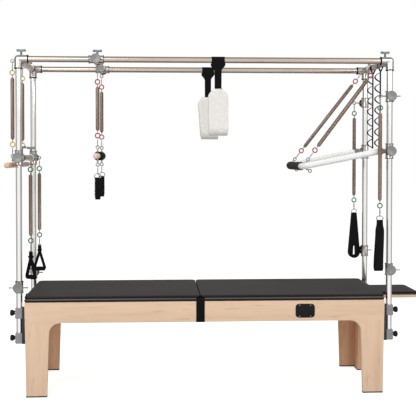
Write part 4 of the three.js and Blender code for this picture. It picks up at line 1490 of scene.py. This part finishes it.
@dataclass
class Collars:
    """The collars on the posts, with their rods and the tongues of the push bar."""

    rod_offset: float = 35
    rod_radius: float = 4
    rod_reach: float = 60
    low_left: float = 684
    low_front_right: float = 780
    low_back_right: float = 828
    low_length: float = 70
    high_length: float = 65
    push_length: float = 94

    def build(self) -> None:
        """Makes every collar."""
        for depth in Depth:
            right = self.low_front_right if depth is Depth.FRONT else self.low_back_right
            self.low(Side.LEFT, depth, self.low_left)
            self.low(Side.RIGHT, depth, right)
            self.high_collar(depth)
            self.push_collar(depth)

    def shell(self, place: Vector, length: float, depth: Depth) -> list[Piece]:
        """A collar's sleeve, its disc faced clamp and its pinch lug.

        Args:
            place: The collar's middle.
            length: Its length.
            depth: The way the disc faces.

        Returns:
            The parts.
        """
        foot = place - Way.Z.value * length / 2
        parts = [HARDWARE.sleeve(foot, Way.Z.value, length, gasket=True), HARDWARE.clamp_at(place, depth)]
        lug_y, end = -34 * depth.value, length / 2 - 8
        lug = block((-7, lug_y - 3, -end), (7, lug_y + 9, end), 2)
        put(lug, Matrix.Translation(place))
        parts.append(coloured(lug, FINISHES.fitting_alloy))
        return parts

    def rod(self, place: Vector, start: float, end: float, depth: Depth) -> Piece:
        """A rod across a collar's clamp.

        Args:
            place: The collar's middle.
            start: One end along X.
            end: The other end.
            depth: The side it passes on.

        Returns:
            The rod.
        """
        y = depth.value * self.rod_offset
        piece = bar(place + Vector((start, y, 0)), place + Vector((end, y, 0)), self.rod_radius, 24, 0.8)
        return coloured(piece, FINISHES.bright_steel)

    def low(self, side: Side, depth: Depth, height: float) -> None:
        """One low collar.

        Args:
            side: The end.
            depth: The front or back.
            height: Its height.
        """
        name = f"low_collar_{depth.word}_{side.word}"
        place = Vector((side.value * LAYOUT.post_x, depth.value * LAYOUT.post_y, height))
        inner = self.rod_reach if side is Side.LEFT else -22
        parts = self.shell(place, self.low_length, depth)
        parts.append(self.rod(place, side.value * self.rod_reach, inner, depth))
        settle(joined(parts), f"{name}_clamp", name, [name])

    def high_collar(self, depth: Depth) -> None:
        """One high collar, whose rod ends in an eye.

        Args:
            depth: The front or back.
        """
        name = f"high_collar_{depth.word}"
        place = Vector((LAYOUT.post_x, depth.value * LAYOUT.post_y, LAYOUT.high_z))
        parts = self.shell(place, self.high_length, depth)
        parts.append(self.rod(place, self.rod_reach, -60, depth))
        loop = ring(place + Vector((-69, depth.value * self.rod_offset, 0)), 10, 3, Way.Y.value)
        parts.append(coloured(loop, FINISHES.bright_steel))
        settle(joined(parts), f"{name}_clamp", name, [name])

    def push_collar(self, depth: Depth) -> None:
        """One collar that carries the push bar, with its bored tongue.

        Args:
            depth: The front or back.
        """
        name = f"push_collar_{depth.word}"
        place = Vector((LAYOUT.post_x, depth.value * LAYOUT.post_y, LAYOUT.pivot_z))
        parts = self.shell(place, self.push_length, depth)
        shape = rounded([(-72, -14, 13.6), (-15, -14, 0), (-15, 14, 0), (-72, 14, 13.6)], 8)
        tongue = slab(shape, 12, 1)
        put(tongue, Matrix.Translation(place + Vector((0, 6, 0))) @ UPRIGHT)
        parts.append(coloured(tongue, FINISHES.disc_alloy))
        settle(joined(parts), f"{name}_clamp", "root", [name])


@dataclass
class SlidingBars:
    """The slider on the rails and the middle bar on the left posts."""

    slider_length: float = 90
    middle_length: float = 92

    def build(self) -> None:
        """Makes both bars."""
        self.sliding(Vector((LAYOUT.slider_x, 0, LAYOUT.rail_z)), Way.X.value, self.slider_length, 0,
                     "slider_bar", "slider", "trapeze_slider")
        self.sliding(Vector((-LAYOUT.post_x, 0, LAYOUT.middle_z)), Way.Z.value, self.middle_length, -90,
                     "middle_bar", "mid_bar", "mid_bar")

    def sliding(self, middle: Vector, along: Vector, length: float, turn: float,
                name: str, body: str, node: str) -> None:
        """A bar across the frame with a sleeve at each end.

        Args:
            middle: The bar's middle.
            along: The way the sleeves slide.
            length: The sleeves' length.
            turn: The eyebolts' turn about Y.
            name: The piece's name.
            body: The body that it rides on.
            node: The node that it replaces.
        """
        half = Way.Y.value * (LAYOUT.post_y - LAYOUT.tube_stop)
        cross = tube(middle - half, middle + half, LAYOUT.tube_radius, LAYOUT.tube_wall)
        parts = [coloured(cross, FINISHES.cross_steel), *HARDWARE.anchors(middle, turn)]
        for depth in Depth:
            end = middle + Way.Y.value * LAYOUT.post_y * depth.value
            parts.append(HARDWARE.sleeve(end - along * length / 2, along, length, gasket=True))
            parts.append(HARDWARE.clamp_at(end, depth))
            reach = LAYOUT.cross_reach
            parts += HARDWARE.socket([(21, 25), (reach - 7, 25), (reach - 7, 19.4)], reach, 8, end,
                                     Way.Y.value * -depth.value)
        settle(joined(parts), name, body, [node])


@dataclass
class PushBar:
    """The white U shaped bar with its hubs, pins, eyes and grip."""

    bend: float = 50
    lower_turn: float = -60
    grip_length: float = 430

    def line(self) -> list[Vector]:
        """The U's axis about its pivot, before it drops.

        Returns:
            The points.
        """
        points = [Vector((-17, -LAYOUT.post_y, 0)), Vector((-200, -LAYOUT.post_y, 0))]
        for depth in (-1, 1):
            arc = []
            for step in range(13):
                angle = math.pi / 2 * step / 12
                arc.append(Vector((self.bend - LAYOUT.push_reach - self.bend * math.sin(angle),
                                   depth * (LAYOUT.post_y - self.bend + self.bend * math.cos(angle)), 0)))
            points += arc if depth < 0 else arc[::-1]
        return points + [Vector((-200, LAYOUT.post_y, 0)), Vector((-17, LAYOUT.post_y, 0))]

    def build(self) -> None:
        """Makes the bar and its grip."""
        drop = Matrix.Rotation(math.radians(-LAYOUT.push_drop), 4, "Y")
        place = Matrix.Translation((LAYOUT.pivot_x, 0, LAYOUT.pivot_z))
        tubing = put(wire(self.line(), LAYOUT.tube_radius, sides=40), drop)
        parts = [coloured(tubing, FINISHES.white_paint)]
        for y in (-LAYOUT.post_y, LAYOUT.post_y):
            parts += [put(part, drop) for part in self.hub(y)]
        lean = math.radians(LAYOUT.push_drop)
        middle = Vector((-LAYOUT.push_reach * math.cos(lean), 0, -LAYOUT.push_reach * math.sin(lean)))
        for y in (-LAYOUT.push_eye_y, LAYOUT.push_eye_y):
            for turn in (LAYOUT.push_eye_turn, self.lower_turn):
                way = Matrix.Rotation(math.radians(turn), 3, "Y") @ Vector((0, 0, -1))
                spot = middle + Vector((0, y, 0)) + way * LAYOUT.push_eye_reach
                parts.append(HARDWARE.eye_at(spot, turn))
        settle(put(joined(parts), place), "push_frame", "push_bar", ["push_bar"])
        self.grip(place @ Matrix.Translation(middle))

    def hub(self, y: float) -> list[Piece]:
        """The slotted hub at one end: two cheeks, a bridge and a pin.

        Args:
            y: Its place across the table.

        Returns:
            The parts.
        """
        parts = []
        for sign in (-1, 1):
            cheek = lathe([(6.6, 20.5), (8, 22), (17, 22), (18.6, 20.4), (18.6, 9), (17.8, 8)],
                          Vector((0, y, 0)), Way.Y.value * sign, 48, 0.4)
            head = lathe([(17, 6.4), (20, 6.4), (21, 5), (21, 3), (20, 2.6)], Vector((0, y, 0)),
                         Way.Y.value * sign, 24, 0.3)
            parts += [coloured(cheek, FINISHES.disc_alloy), coloured(head, FINISHES.bright_steel)]
        pin = bar(Vector((0, y - 17, 0)), Vector((0, y + 17, 0)), 5, 24, 0.5)
        bridge = block((-22, y - 18, -13), (-15.5, y + 18, 13), 1.5)
        return parts + [coloured(pin, FINISHES.bright_steel), coloured(bridge, FINISHES.disc_alloy)]

    def grip(self, placement: Matrix) -> None:
        """The foam grip on the cross piece.

        Args:
            placement: The cross piece's middle.
        """
        half = self.grip_length / 2
        shape = even([(half, 19.4), (half, 24), (half - 2.5, 26.4), (half - 7, 27), (60, 26.6)])
        foam = lathe(shape, ORIGIN, Way.Y.value, 48, 0.8)
        put(foam, placement)
        settle(coloured(foam, FINISHES.grip_foam), "grip_sleeve", "push_bar", ["push_bar_grip"])


@dataclass
class Springs:
    """The ten wound springs, each with a snap hook and a coloured ring at both ends."""

    wire_radius: float = 1.75
    pitch: float = 3.9
    radius: float = 13.0
    end_radius: float = 7.5
    taper: float = 11.0
    per_turn: int = 14
    link_drop: float = 74.0
    ring_to_coil: float = 34.0
    roll_low: float = 1498
    trapeze_low: float = 1555

    def build(self) -> None:
        """Makes every spring."""
        for depth in Depth:
            y, side = LAYOUT.anchor_y * depth.value, LAYOUT.leg_y * depth.value
            slider_eye = LAYOUT.rail_z - LAYOUT.eye_reach
            yellow, red, green = FINISHES.yellow_ring, FINISHES.red_ring, FINISHES.green_ring
            rows = [("roll", LAYOUT.roll_x, y, LAYOUT.rail_z, self.roll_low, yellow, "roll_bar"),
                    ("trapeze", LAYOUT.slider_x, y, slider_eye, self.trapeze_low, red, "trapeze"),
                    ("arm", LAYOUT.arm_x, y, LAYOUT.middle_z, LAYOUT.arm_low, green, f"arm_{depth.word}"),
                    ("leg", LAYOUT.leg_x, side, LAYOUT.high_z, LAYOUT.leg_low, green, f"leg_{depth.word}")]
            for kind, x, across, top, low, colour, body in rows:
                ends = Vector((x, across, top)), Vector((x, across, low))
                self.spring(f"{kind}_spring_{depth.word}", *ends, colour, body)
            self.push_spring(depth)

    def push_spring(self, depth: Depth) -> None:
        """The spring between the right cross tube and the push bar.

        Args:
            depth: The front or back.
        """
        turn, upper = math.radians(LAYOUT.right_turn), math.radians(LAYOUT.push_eye_turn)
        drop = math.radians(LAYOUT.push_drop)
        top = Vector((LAYOUT.post_x - LAYOUT.eye_reach * math.sin(turn), LAYOUT.anchor_y * depth.value,
                      LAYOUT.rail_z - LAYOUT.eye_reach * math.cos(turn)))
        reach, eye = LAYOUT.push_reach, LAYOUT.push_eye_reach
        low = Vector((LAYOUT.pivot_x - reach * math.cos(drop) - eye * math.sin(upper),
                      LAYOUT.push_eye_y * depth.value,
                      LAYOUT.pivot_z - reach * math.sin(drop) - eye * math.cos(upper)))
        self.spring(f"push_spring_{depth.word}", top, low, FINISHES.red_ring, "")

    def coil_points(self, length: float) -> list[Vector]:
        """The wire of a coil that hangs from zero and narrows toward both ends.

        Args:
            length: The coil's length.

        Returns:
            The points.
        """
        turns = length / self.pitch
        count = int(turns * self.per_turn)
        points = []
        for i in range(count + 1):
            level = length * i / count
            from_end = min(level, length - level)
            share = min(from_end / self.taper, 1)
            full = self.radius - self.wire_radius
            wide = self.end_radius + (full - self.end_radius) * math.sin(share * math.pi / 2)
            angle = 2 * math.pi * i / self.per_turn
            points.append(Vector((wide * math.cos(angle), wide * math.sin(angle), -level)))
        return points

    def spring(self, node: str, top: Vector, low: Vector, colour: Finish, body: str) -> None:
        """One spring from eye to eye.

        Args:
            node: The node that it replaces.
            top: The upper eye's middle.
            low: The lower eye's middle.
            colour: The rings' finish.
            body: The body that it rides on, or nothing for a spring that spans two bodies and is left on
                neither.
        """
        distance = (top - low).length
        start = self.link_drop + self.ring_to_coil
        length = distance - 2 * start
        down = Matrix.Translation((0, 0, -start))
        coil = put(wire(self.coil_points(length), self.wire_radius, sides=6), down)
        parts = [coloured(coil, FINISHES.spring_wire)]
        flip = Matrix.Translation((0, 0, -distance)) @ Matrix.Rotation(math.pi, 4, "X")
        for end in (Matrix.Identity(4), flip):
            parts.append(copied(HARDWARE.snap_hook(), end))
            under = end @ Matrix.Translation((0, 0, -self.link_drop))
            parts.append(copied(HARDWARE.colour_ring(colour), under))
            hook = [Vector((0, 0, -start - 3)), Vector((0, 0, -start + 9))]
            for i in range(13):
                angle = math.radians(-90 + 330 * i / 12)
                hook.append(Vector((0, 5.6 * math.cos(angle), -start + 16.5 + 5.6 * math.sin(angle))))
            parts.append(coloured(put(wire(hook, 1.7), end), FINISHES.spring_wire))
            cup = lathe([(-2, 5.4), (2, 6.2), (5, 3.4), (8, 2.6)], Vector((0, 0, -start)), Way.Z.value,
                        24, 0.3)
            parts.append(coloured(put(cup, end), FINISHES.bright_steel))
        whole = joined(parts)
        turn = Way.DOWN.value.rotation_difference(low - top).to_matrix().to_4x4()
        put(whole, Matrix.Translation(top) @ turn)
        name = f"wound_{node}"
        if body:
            settle(whole, name, body, [node])
            return
        finished(whole, name)
        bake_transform(whole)
        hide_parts(node)
        LOG.info("%s bends between root and push_bar", name)


@dataclass
class HungBars:
    """The roll bar and the trapeze bar."""

    roll_z: float = 1442
    roll_half: float = 420
    roll_radius: float = 17
    trapeze_z: float = 1499
    trapeze_half: float = 380
    trapeze_radius: float = 17.5
    foam_half: float = 186
    foam_radius: float = 28.5

    def build(self) -> None:
        """Makes both bars."""
        self.roll_bar()
        self.trapeze_bar()

    def dowel(self, middle: Vector, half: float, radius: float, finish: Finish) -> Piece:
        """A wooden bar along Y with rounded ends."""
        shape = even([(half, radius * 0.62), (half - 2, radius * 0.86), (half - 6, radius)])
        return coloured(lathe(shape, middle, Way.Y.value, 48, 0.6), finish)

    def roll_bar(self) -> None:
        """The bar on the yellow ringed springs."""
        middle = Vector((LAYOUT.roll_x, 0, self.roll_z))
        parts = [self.dowel(middle, self.roll_half, self.roll_radius, FINISHES.roll_wood)]
        for depth in Depth:
            rise = Vector((0, LAYOUT.anchor_y * depth.value, LAYOUT.eye_reach))
            parts.append(HARDWARE.eye_at(middle + rise, 180))
        settle(joined(parts), "roll_dowel", "roll_bar", ["roll_bar"])

    def trapeze_bar(self) -> None:
        """The bar on the red ringed springs, with its foam sleeve."""
        middle = Vector((LAYOUT.slider_x, 0, self.trapeze_z))
        parts = [self.dowel(middle, self.trapeze_half, self.trapeze_radius, FINISHES.trapeze_wood)]
        for depth in Depth:
            for turn, rise in ((180, LAYOUT.eye_reach), (0, -LAYOUT.eye_reach)):
                spot = Vector((0, LAYOUT.anchor_y * depth.value, rise))
                parts.append(HARDWARE.eye_at(middle + spot, turn))
        settle(joined(parts), "trapeze_dowel", "trapeze", ["trapeze_bar"])
        half, wide = self.foam_half, self.foam_radius
        shape = even([(half, 18), (half, wide - 4), (half - 3, wide - 1), (half - 9, wide),
                      (0, wide - 0.6)])
        foam = lathe(shape, middle, Way.Y.value, 48, 0.8)
        settle(coloured(foam, FINISHES.black_foam), "trapeze_foam", "trapeze")


@dataclass
class Straps:
    """Handles, foot straps, cuffs, slings and hanging strap chains."""

    handle_drop: float = 157
    cuff_z: float = 1443
    chain_y: float = 95
    chain_width: float = 26
    chain_thick: float = 3.2

    def build(self) -> None:
        """Makes every soft attachment."""
        for depth in Depth:
            self.handle(depth)
            self.foot_strap(depth)
            self.cuff(depth)
            self.sling(depth)
            self.chain(depth)

    def handle(self, depth: Depth) -> None:
        """A triangle of webbing with a foam grip, on an arm spring. The front one is turned.

        Args:
            depth: The front or back.
        """
        name = f"handle_{depth.word}"
        low = -self.handle_drop
        shape = rounded([(2.6, -6, 2), (2.6, -44, 30), (37, low, 9), (-37, low, 9), (-2.6, -44, 30),
                         (-2.6, -6, 2)], 6)
        front = depth is Depth.FRONT
        loop = wire([Vector((x, 0, z)) for x, z in shape], 11 if front else 9.4, closed=True, sides=14)
        coloured(loop, FINISHES.webbing)
        keeper = coloured(block((-14, -13, -36), (14, 13, -22), 3), FINISHES.webbing)
        sleeve = lathe(even([(36, 8), (36, 12), (34, 14), (12, 14.2), (0, 14.8)]),
                       Vector((0, 0, -self.handle_drop)), Way.X.value, 36, 0.7)
        turn = Matrix.Rotation(math.radians(-35 if front else 0), 4, "Z")
        place = Matrix.Translation((LAYOUT.arm_x, LAYOUT.anchor_y * depth.value, LAYOUT.arm_low))
        top = coloured(ring(ORIGIN, 10, 3, Way.Y.value), FINISHES.bright_steel)
        whole = put(joined([put(joined([loop, keeper]), turn), top]), place)
        settle(whole, f"{name}_loop", f"arm_{depth.word}", [name])
        put(coloured(sleeve, FINISHES.neoprene), place @ turn)
        grip = settle(sleeve, f"{name}_grip", f"arm_{depth.word}")

    def foot_strap(self, depth: Depth) -> None:
        """A padded loop with a tab on a metal ring, on a leg spring.

        Args:
            depth: The front or back.
        """
        name = f"foot_strap_{depth.word}"
        front = depth is Depth.FRONT
        deep, wide, thick = (54, 50, 5) if front else (82, 42, 0)
        top, height = 15, 324
        low, high = deep / 2, 11 if front else 18
        outline = dense(belt(low, high, height - low - high, 16), 18)
        if front:
            loop = band(outline, wide, thick, rows=6, edge=1.4)
            for vertex in loop.data.vertices:
                vertex.co.y *= 1 - 0.27 * smooth(vertex.co.z, 238, 262)
                vertex.co.y += 8 * smooth(vertex.co.z, 240, 0)
        else:
            loop = self.folded(outline, wide)
        put(loop, Matrix.Translation((0, 0, low - height - top)))
        half = 12.5 if front else 18.5
        tab = block((-half, -wide * 0.37, -top - 46), (half, wide * 0.37, -top - 3), 3)
        whole = joined([coloured(loop, FINISHES.neoprene), coloured(tab, FINISHES.webbing)])
        if front:
            put(whole, ACROSS)
        place = Vector((LAYOUT.leg_x, LAYOUT.leg_y * depth.value, LAYOUT.leg_low))
        settle(put(whole, Matrix.Translation(place)), f"{name}_loop", f"leg_{depth.word}", [name])
        metal = coloured(ring(Vector((0, 0, -5)), 15, 2.5, Way.Y.value), FINISHES.bright_steel)
        put(metal, Matrix.Translation(place) @ Matrix.Diagonal((1.4 if front else 1.15, 1, 1, 1)))
        settle(metal, f"{name}_ring", f"leg_{depth.word}")

    def folded(self, outline: Outline, wide: float) -> Piece:
        """A loop that hangs nearly shut, with only a slit open near its foot.

        Args:
            outline: The loop's outline as (x, z).
            wide: Its width along Y.

        Returns:
            The loop.
        """
        upright = Matrix.Translation((0, wide / 2, 0)) @ UPRIGHT
        body = put(slab(outline, wide, 5, 3), upright)
        slit = slab(rounded([(11, -20, 9), (8, 48, 7), (-8, 48, 7), (-11, -20, 9)], 4), wide + 20, 0)
        put(slit, Matrix.Translation((0, 10, 0)) @ upright)
        apply(body, "BOOLEAN", operation="DIFFERENCE", solver="EXACT", object=slit)
        bpy.data.objects.remove(slit, do_unlink=True)
        return body

    def cuff(self, depth: Depth) -> None:
        """A gathered black cuff with its own snap hook, on the trapeze bar.

        Args:
            depth: The front or back.
        """
        name = f"cuff_{depth.word}"
        eye = Vector((LAYOUT.slider_x, LAYOUT.anchor_y * depth.value, self.cuff_z))
        hook = copied(HARDWARE.snap_hook(), Matrix.Translation(eye) @ Matrix.Scale(0.95, 4))
        metal = coloured(ring(ORIGIN, 15, 2.5, Way.Y.value), FINISHES.bright_steel)
        put(metal, Matrix.Translation(eye + Vector((0, 0, -71))) @ Matrix.Diagonal((1.4, 1, 1, 1)))
        settle(joined([metal, hook]), f"{name}_ring", name)
        loop = band(dense(belt(24, 12, 104, 14), 3), 40, 6, rows=14, edge=0)
        for vertex in loop.data.vertices:
            gather = math.sin(vertex.co.z * 0.78 + 0.9 * math.sin(vertex.co.y * 0.31)) * 1.5
            outward = Vector((vertex.co.x, 0, (vertex.co.z - 40) * 0.4)).normalized()
            vertex.co += outward * gather
            vertex.co.y *= 0.9 + 0.1 * math.sin(vertex.co.z * 0.52) - 0.14 * smooth(vertex.co.z, 10, -24)
        put(loop, ACROSS)
        put(loop, Matrix.Translation(eye + Vector((0, 0, 24 - 140 - 81))))
        settle(coloured(loop, FINISHES.neoprene), f"{name}_loop", name, [name])

    def sling(self, depth: Depth) -> None:
        """A fleece loop on a web strap round the rail.

        Args:
            depth: The front or back.
        """
        name = f"sling_{depth.word}"
        x, longer, slant = (75, 8, 0) if depth is Depth.FRONT else (50, 18, 4)
        place = Matrix.Translation((x, LAYOUT.post_y * depth.value, LAYOUT.rail_z)) @ ACROSS
        web = band(dense(belt(5, 21.6, 186 + longer, 18), 8), 82, 2.0, rows=8, edge=0)
        put(web, Matrix.Translation((0, 0, -186 - longer)))
        for vertex in web.data.vertices:
            share = smooth(-vertex.co.z, 30, 70)
            knot = smooth(-vertex.co.z, 14, 24) * (1 - smooth(-vertex.co.z, 32, 52))
            vertex.co.x += (1.2 * share + 1.6 * knot) * math.sin(vertex.co.y * 0.22)
            vertex.co.y *= 1 + 0.1 * knot - 0.48 * share
        settle(coloured(put(web, place), FINISHES.webbing), f"{name}_web", name)
        loop = band(dense(belt(46, 27, 296 - 73, 20), 14), 124, 18, rows=12, edge=4)
        apply(loop, "SUBSURF", levels=1, render_levels=1)
        for vertex in loop.data.vertices:
            tuft = noise.noise(vertex.co * 0.11) * 2.2 + noise.noise(vertex.co * 0.35) * 1.1
            vertex.co += vertex.normal * (tuft - 0.6)
            shoulder = smooth(vertex.co.z, 190, 252)
            vertex.co.y *= 1 - 0.52 * shoulder * shoulder - 0.06 * smooth(vertex.co.z, -20, -46)
            vertex.co.y += slant * (vertex.co.z - 100) / 50
        put(loop, Matrix.Translation((0, 0, 46 - 296 - 170 - longer)))
        settle(coloured(put(loop, place), FINISHES.fleece), f"{name}_fleece", name, [name])

    def chain(self, depth: Depth) -> None:
        """A strap with a row of sewn loops, hung from the right cross tube.

        Args:
            depth: The front or back.
        """
        name = f"hang_strap_{depth.word}"
        drop, pitch, count, bulge = 46, 72, 7, 38
        loop = band(belt(3.4, 22, drop - 4, 14), self.chain_width, self.chain_thick, rows=2, edge=0)
        parts = [put(loop, Matrix.Translation((0, 0, -drop + 4)))]
        low = -drop - pitch * count
        levels = (-drop + 2, -drop - pitch, -drop - 3 * pitch, -drop - 5 * pitch, low)
        straight = [(0, level) for level in levels]
        parts.append(band(straight, self.chain_width, self.chain_thick, closed=False, rows=2, edge=0))
        for i in range(count):
            high = -drop - i * pitch - 3
            curve = []
            for step in range(15):
                share = step / 14
                curve.append((-bulge * math.sin(math.pi * share) ** 0.9 - 1.2, high - (pitch - 6) * share))
            parts.append(band(curve, self.chain_width, self.chain_thick, closed=False, rows=2, edge=0))
        whole = put(coloured(joined(parts), FINISHES.webbing),
                    Matrix.Translation((LAYOUT.post_x, self.chain_y * depth.value, LAYOUT.rail_z)))
        settle(whole, f"{name}_chain", name, [name])


@dataclass
class FoldingBoard:
    """The padded board at the right end, with its hinge."""

    hinge_x: float = 1135.5
    hinge_z: float = 565.7
    length: float = 274
    half_width: float = 156
    pad_height: float = 21
    knuckles: int = 7
    knuckle_start: float = -154
    knuckle_pitch: float = 44.4
    knuckle_length: float = 42.4
    knuckle_radius: float = 5.5

    def build(self) -> None:
        """Makes the board, its pad and its hinge."""
        softened("extension_board", "folding_board", FINISHES.deck_maple, "extension", 1.2)
        half = (self.length - 2) / 2 - 0.5
        pad = upholstered(half - 1, self.half_width - 3, self.pad_height, 22)
        low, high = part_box("extension_cushion")
        middle = (Vector(low) + Vector(high)) / 2 - ROW_SHIFT
        put(pad, Matrix.Translation((middle.x / TO_METRES, 0, low[2] / TO_METRES)))
        settle(pad, "board_cushion", "extension", ["extension_cushion"])
        barrel = Vector((self.hinge_x, 0, self.hinge_z))
        parts = []
        for i in range(self.knuckles):
            y = self.knuckle_start + i * self.knuckle_pitch
            low, high = Vector((0, y, 0)), Vector((0, y + self.knuckle_length, 0))
            knuckle = bar(barrel + low, barrel + high, self.knuckle_radius, 24, 0.6)
            parts.append(coloured(knuckle, FINISHES.bright_steel))
        settle(joined(parts), "board_hinge", "extension")


# Studio


@dataclass
class Studio:
    """The camera at the photograph's place, soft lamps, a pale floor and a white surround."""

    eye: Point = (-0.40195, -5.5455, 1.4992)
    yaw: float = 2.86
    pitch: float = 1.141
    lens: float = 72.29
    shift_x: float = 0.02546
    shift_y: float = -0.0850
    ambient: float = 0.42
    glow: float = 0.72

    def camera(self) -> None:
        """Makes the camera."""
        deselect()
        tilt = (math.radians(90 - self.pitch), 0, math.radians(-self.yaw))
        bpy.ops.object.camera_add(location=self.eye, rotation=tilt)
        camera = bpy.context.object
        camera.data.lens = self.lens
        camera.data.sensor_width = 36
        camera.data.shift_x = self.shift_x
        camera.data.shift_y = self.shift_y
        bpy.context.scene.camera = camera

    def lamp(self, place: Point, target: Point, size: float, power: float, mirrored: bool = True) -> None:
        """One soft lamp.

        Args:
            place: Where it stands.
            target: What it faces.
            size: Its width.
            power: Its power in watts.
            mirrored: Whether reflections show it.
        """
        deselect()
        bpy.ops.object.light_add(type="AREA", location=place)
        lamp = bpy.context.object
        lamp.data.size = size
        lamp.data.energy = power
        lamp.visible_glossy = mirrored
        toward = Vector(target) - Vector(place)
        lamp.rotation_euler = toward.to_track_quat("-Z", "Y").to_euler()

    def world(self) -> None:
        """White where the camera, a reflection or glass sees it, and softer as light."""
        world = bpy.data.worlds.new("surround")
        world.use_nodes = True
        nodes = Nodes(world.node_tree)
        background = nodes.tree.nodes["Background"]
        background.inputs["Color"].default_value = (1, 1, 1, 1)
        path = nodes.add("ShaderNodeLightPath").outputs
        seen = nodes.maths("MAXIMUM", path["Is Camera Ray"], path["Is Transmission Ray"])
        direction = nodes.add("ShaderNodeTexCoord").outputs["Generated"]
        ahead = nodes.add("ShaderNodeSeparateXYZ", {0: direction}).outputs["Y"]
        ramp = nodes.add("ShaderNodeMapRange", {
            "From Min": -0.3, "From Max": -0.72, "To Min": 0.12, "To Max": 1.0, "Value": ahead},
            interpolation_type="SMOOTHSTEP")
        gloss = nodes.maths("MULTIPLY", path["Is Glossy Ray"], ramp.outputs["Result"])
        strength = nodes.maths("MAXIMUM", nodes.maths("MAXIMUM", seen, gloss), self.ambient)
        nodes.feed(background.inputs["Strength"], strength)
        bpy.context.scene.world = world

    def floor(self) -> None:
        """A pale floor that keeps the table's shadow."""
        deselect()
        bpy.ops.mesh.primitive_plane_add(size=60, location=(0, 0, -0.0005))
        ground = bpy.context.object
        ground.name = "pale_floor"
        ground.visible_glossy = False
        board = Board("pale_floor")
        pale = [(0.3, (0.7, 0.7, 0.7)), (0.7, (0.72, 0.72, 0.72))]
        board.paint(board.blend(board.clouds((0.4, 0.4, 0.4)), pale), 0.9)
        path = board.add("ShaderNodeLightPath").outputs
        board.shader.inputs["Emission Color"].default_value = (1, 1, 1, 1)
        seen = board.maths("MAXIMUM", path["Is Camera Ray"], path["Is Glossy Ray"])
        clear = board.maths("MAXIMUM", seen, path["Is Transmission Ray"])
        board.feed(board.shader.inputs["Emission Strength"], board.between(clear, 0, self.glow))
        ground.data.materials.append(board.material)

    def build(self) -> None:
        """Makes the whole studio."""
        bpy.context.scene.view_settings.view_transform = "Standard"
        self.camera()
        self.world()
        self.floor()
        self.lamp((-2.6, -4.2, 3.8), (0, 0, 0.9), 3.0, 112)
        self.lamp((3.2, -3.4, 3.4), (0, 0, 0.9), 2.6, 62)
        self.lamp((0, 0.6, 4.6), (0, 0, 0.5), 3.0, 56, mirrored=False)


def main() -> None:
    """Makes the studio, then every part of the table."""
    logging.basicConfig(level=logging.INFO, format="%(message)s")
    Studio().build()
    for assembly in (Base(), Frame(), Collars(), SlidingBars(), PushBar(), Springs(), HungBars(), Straps(),
                     FoldingBoard()):
        LOG.info("building %s", type(assembly).__name__)
        assembly.build()
    HARDWARE.clear()


if __name__ == "__main__":
    main()
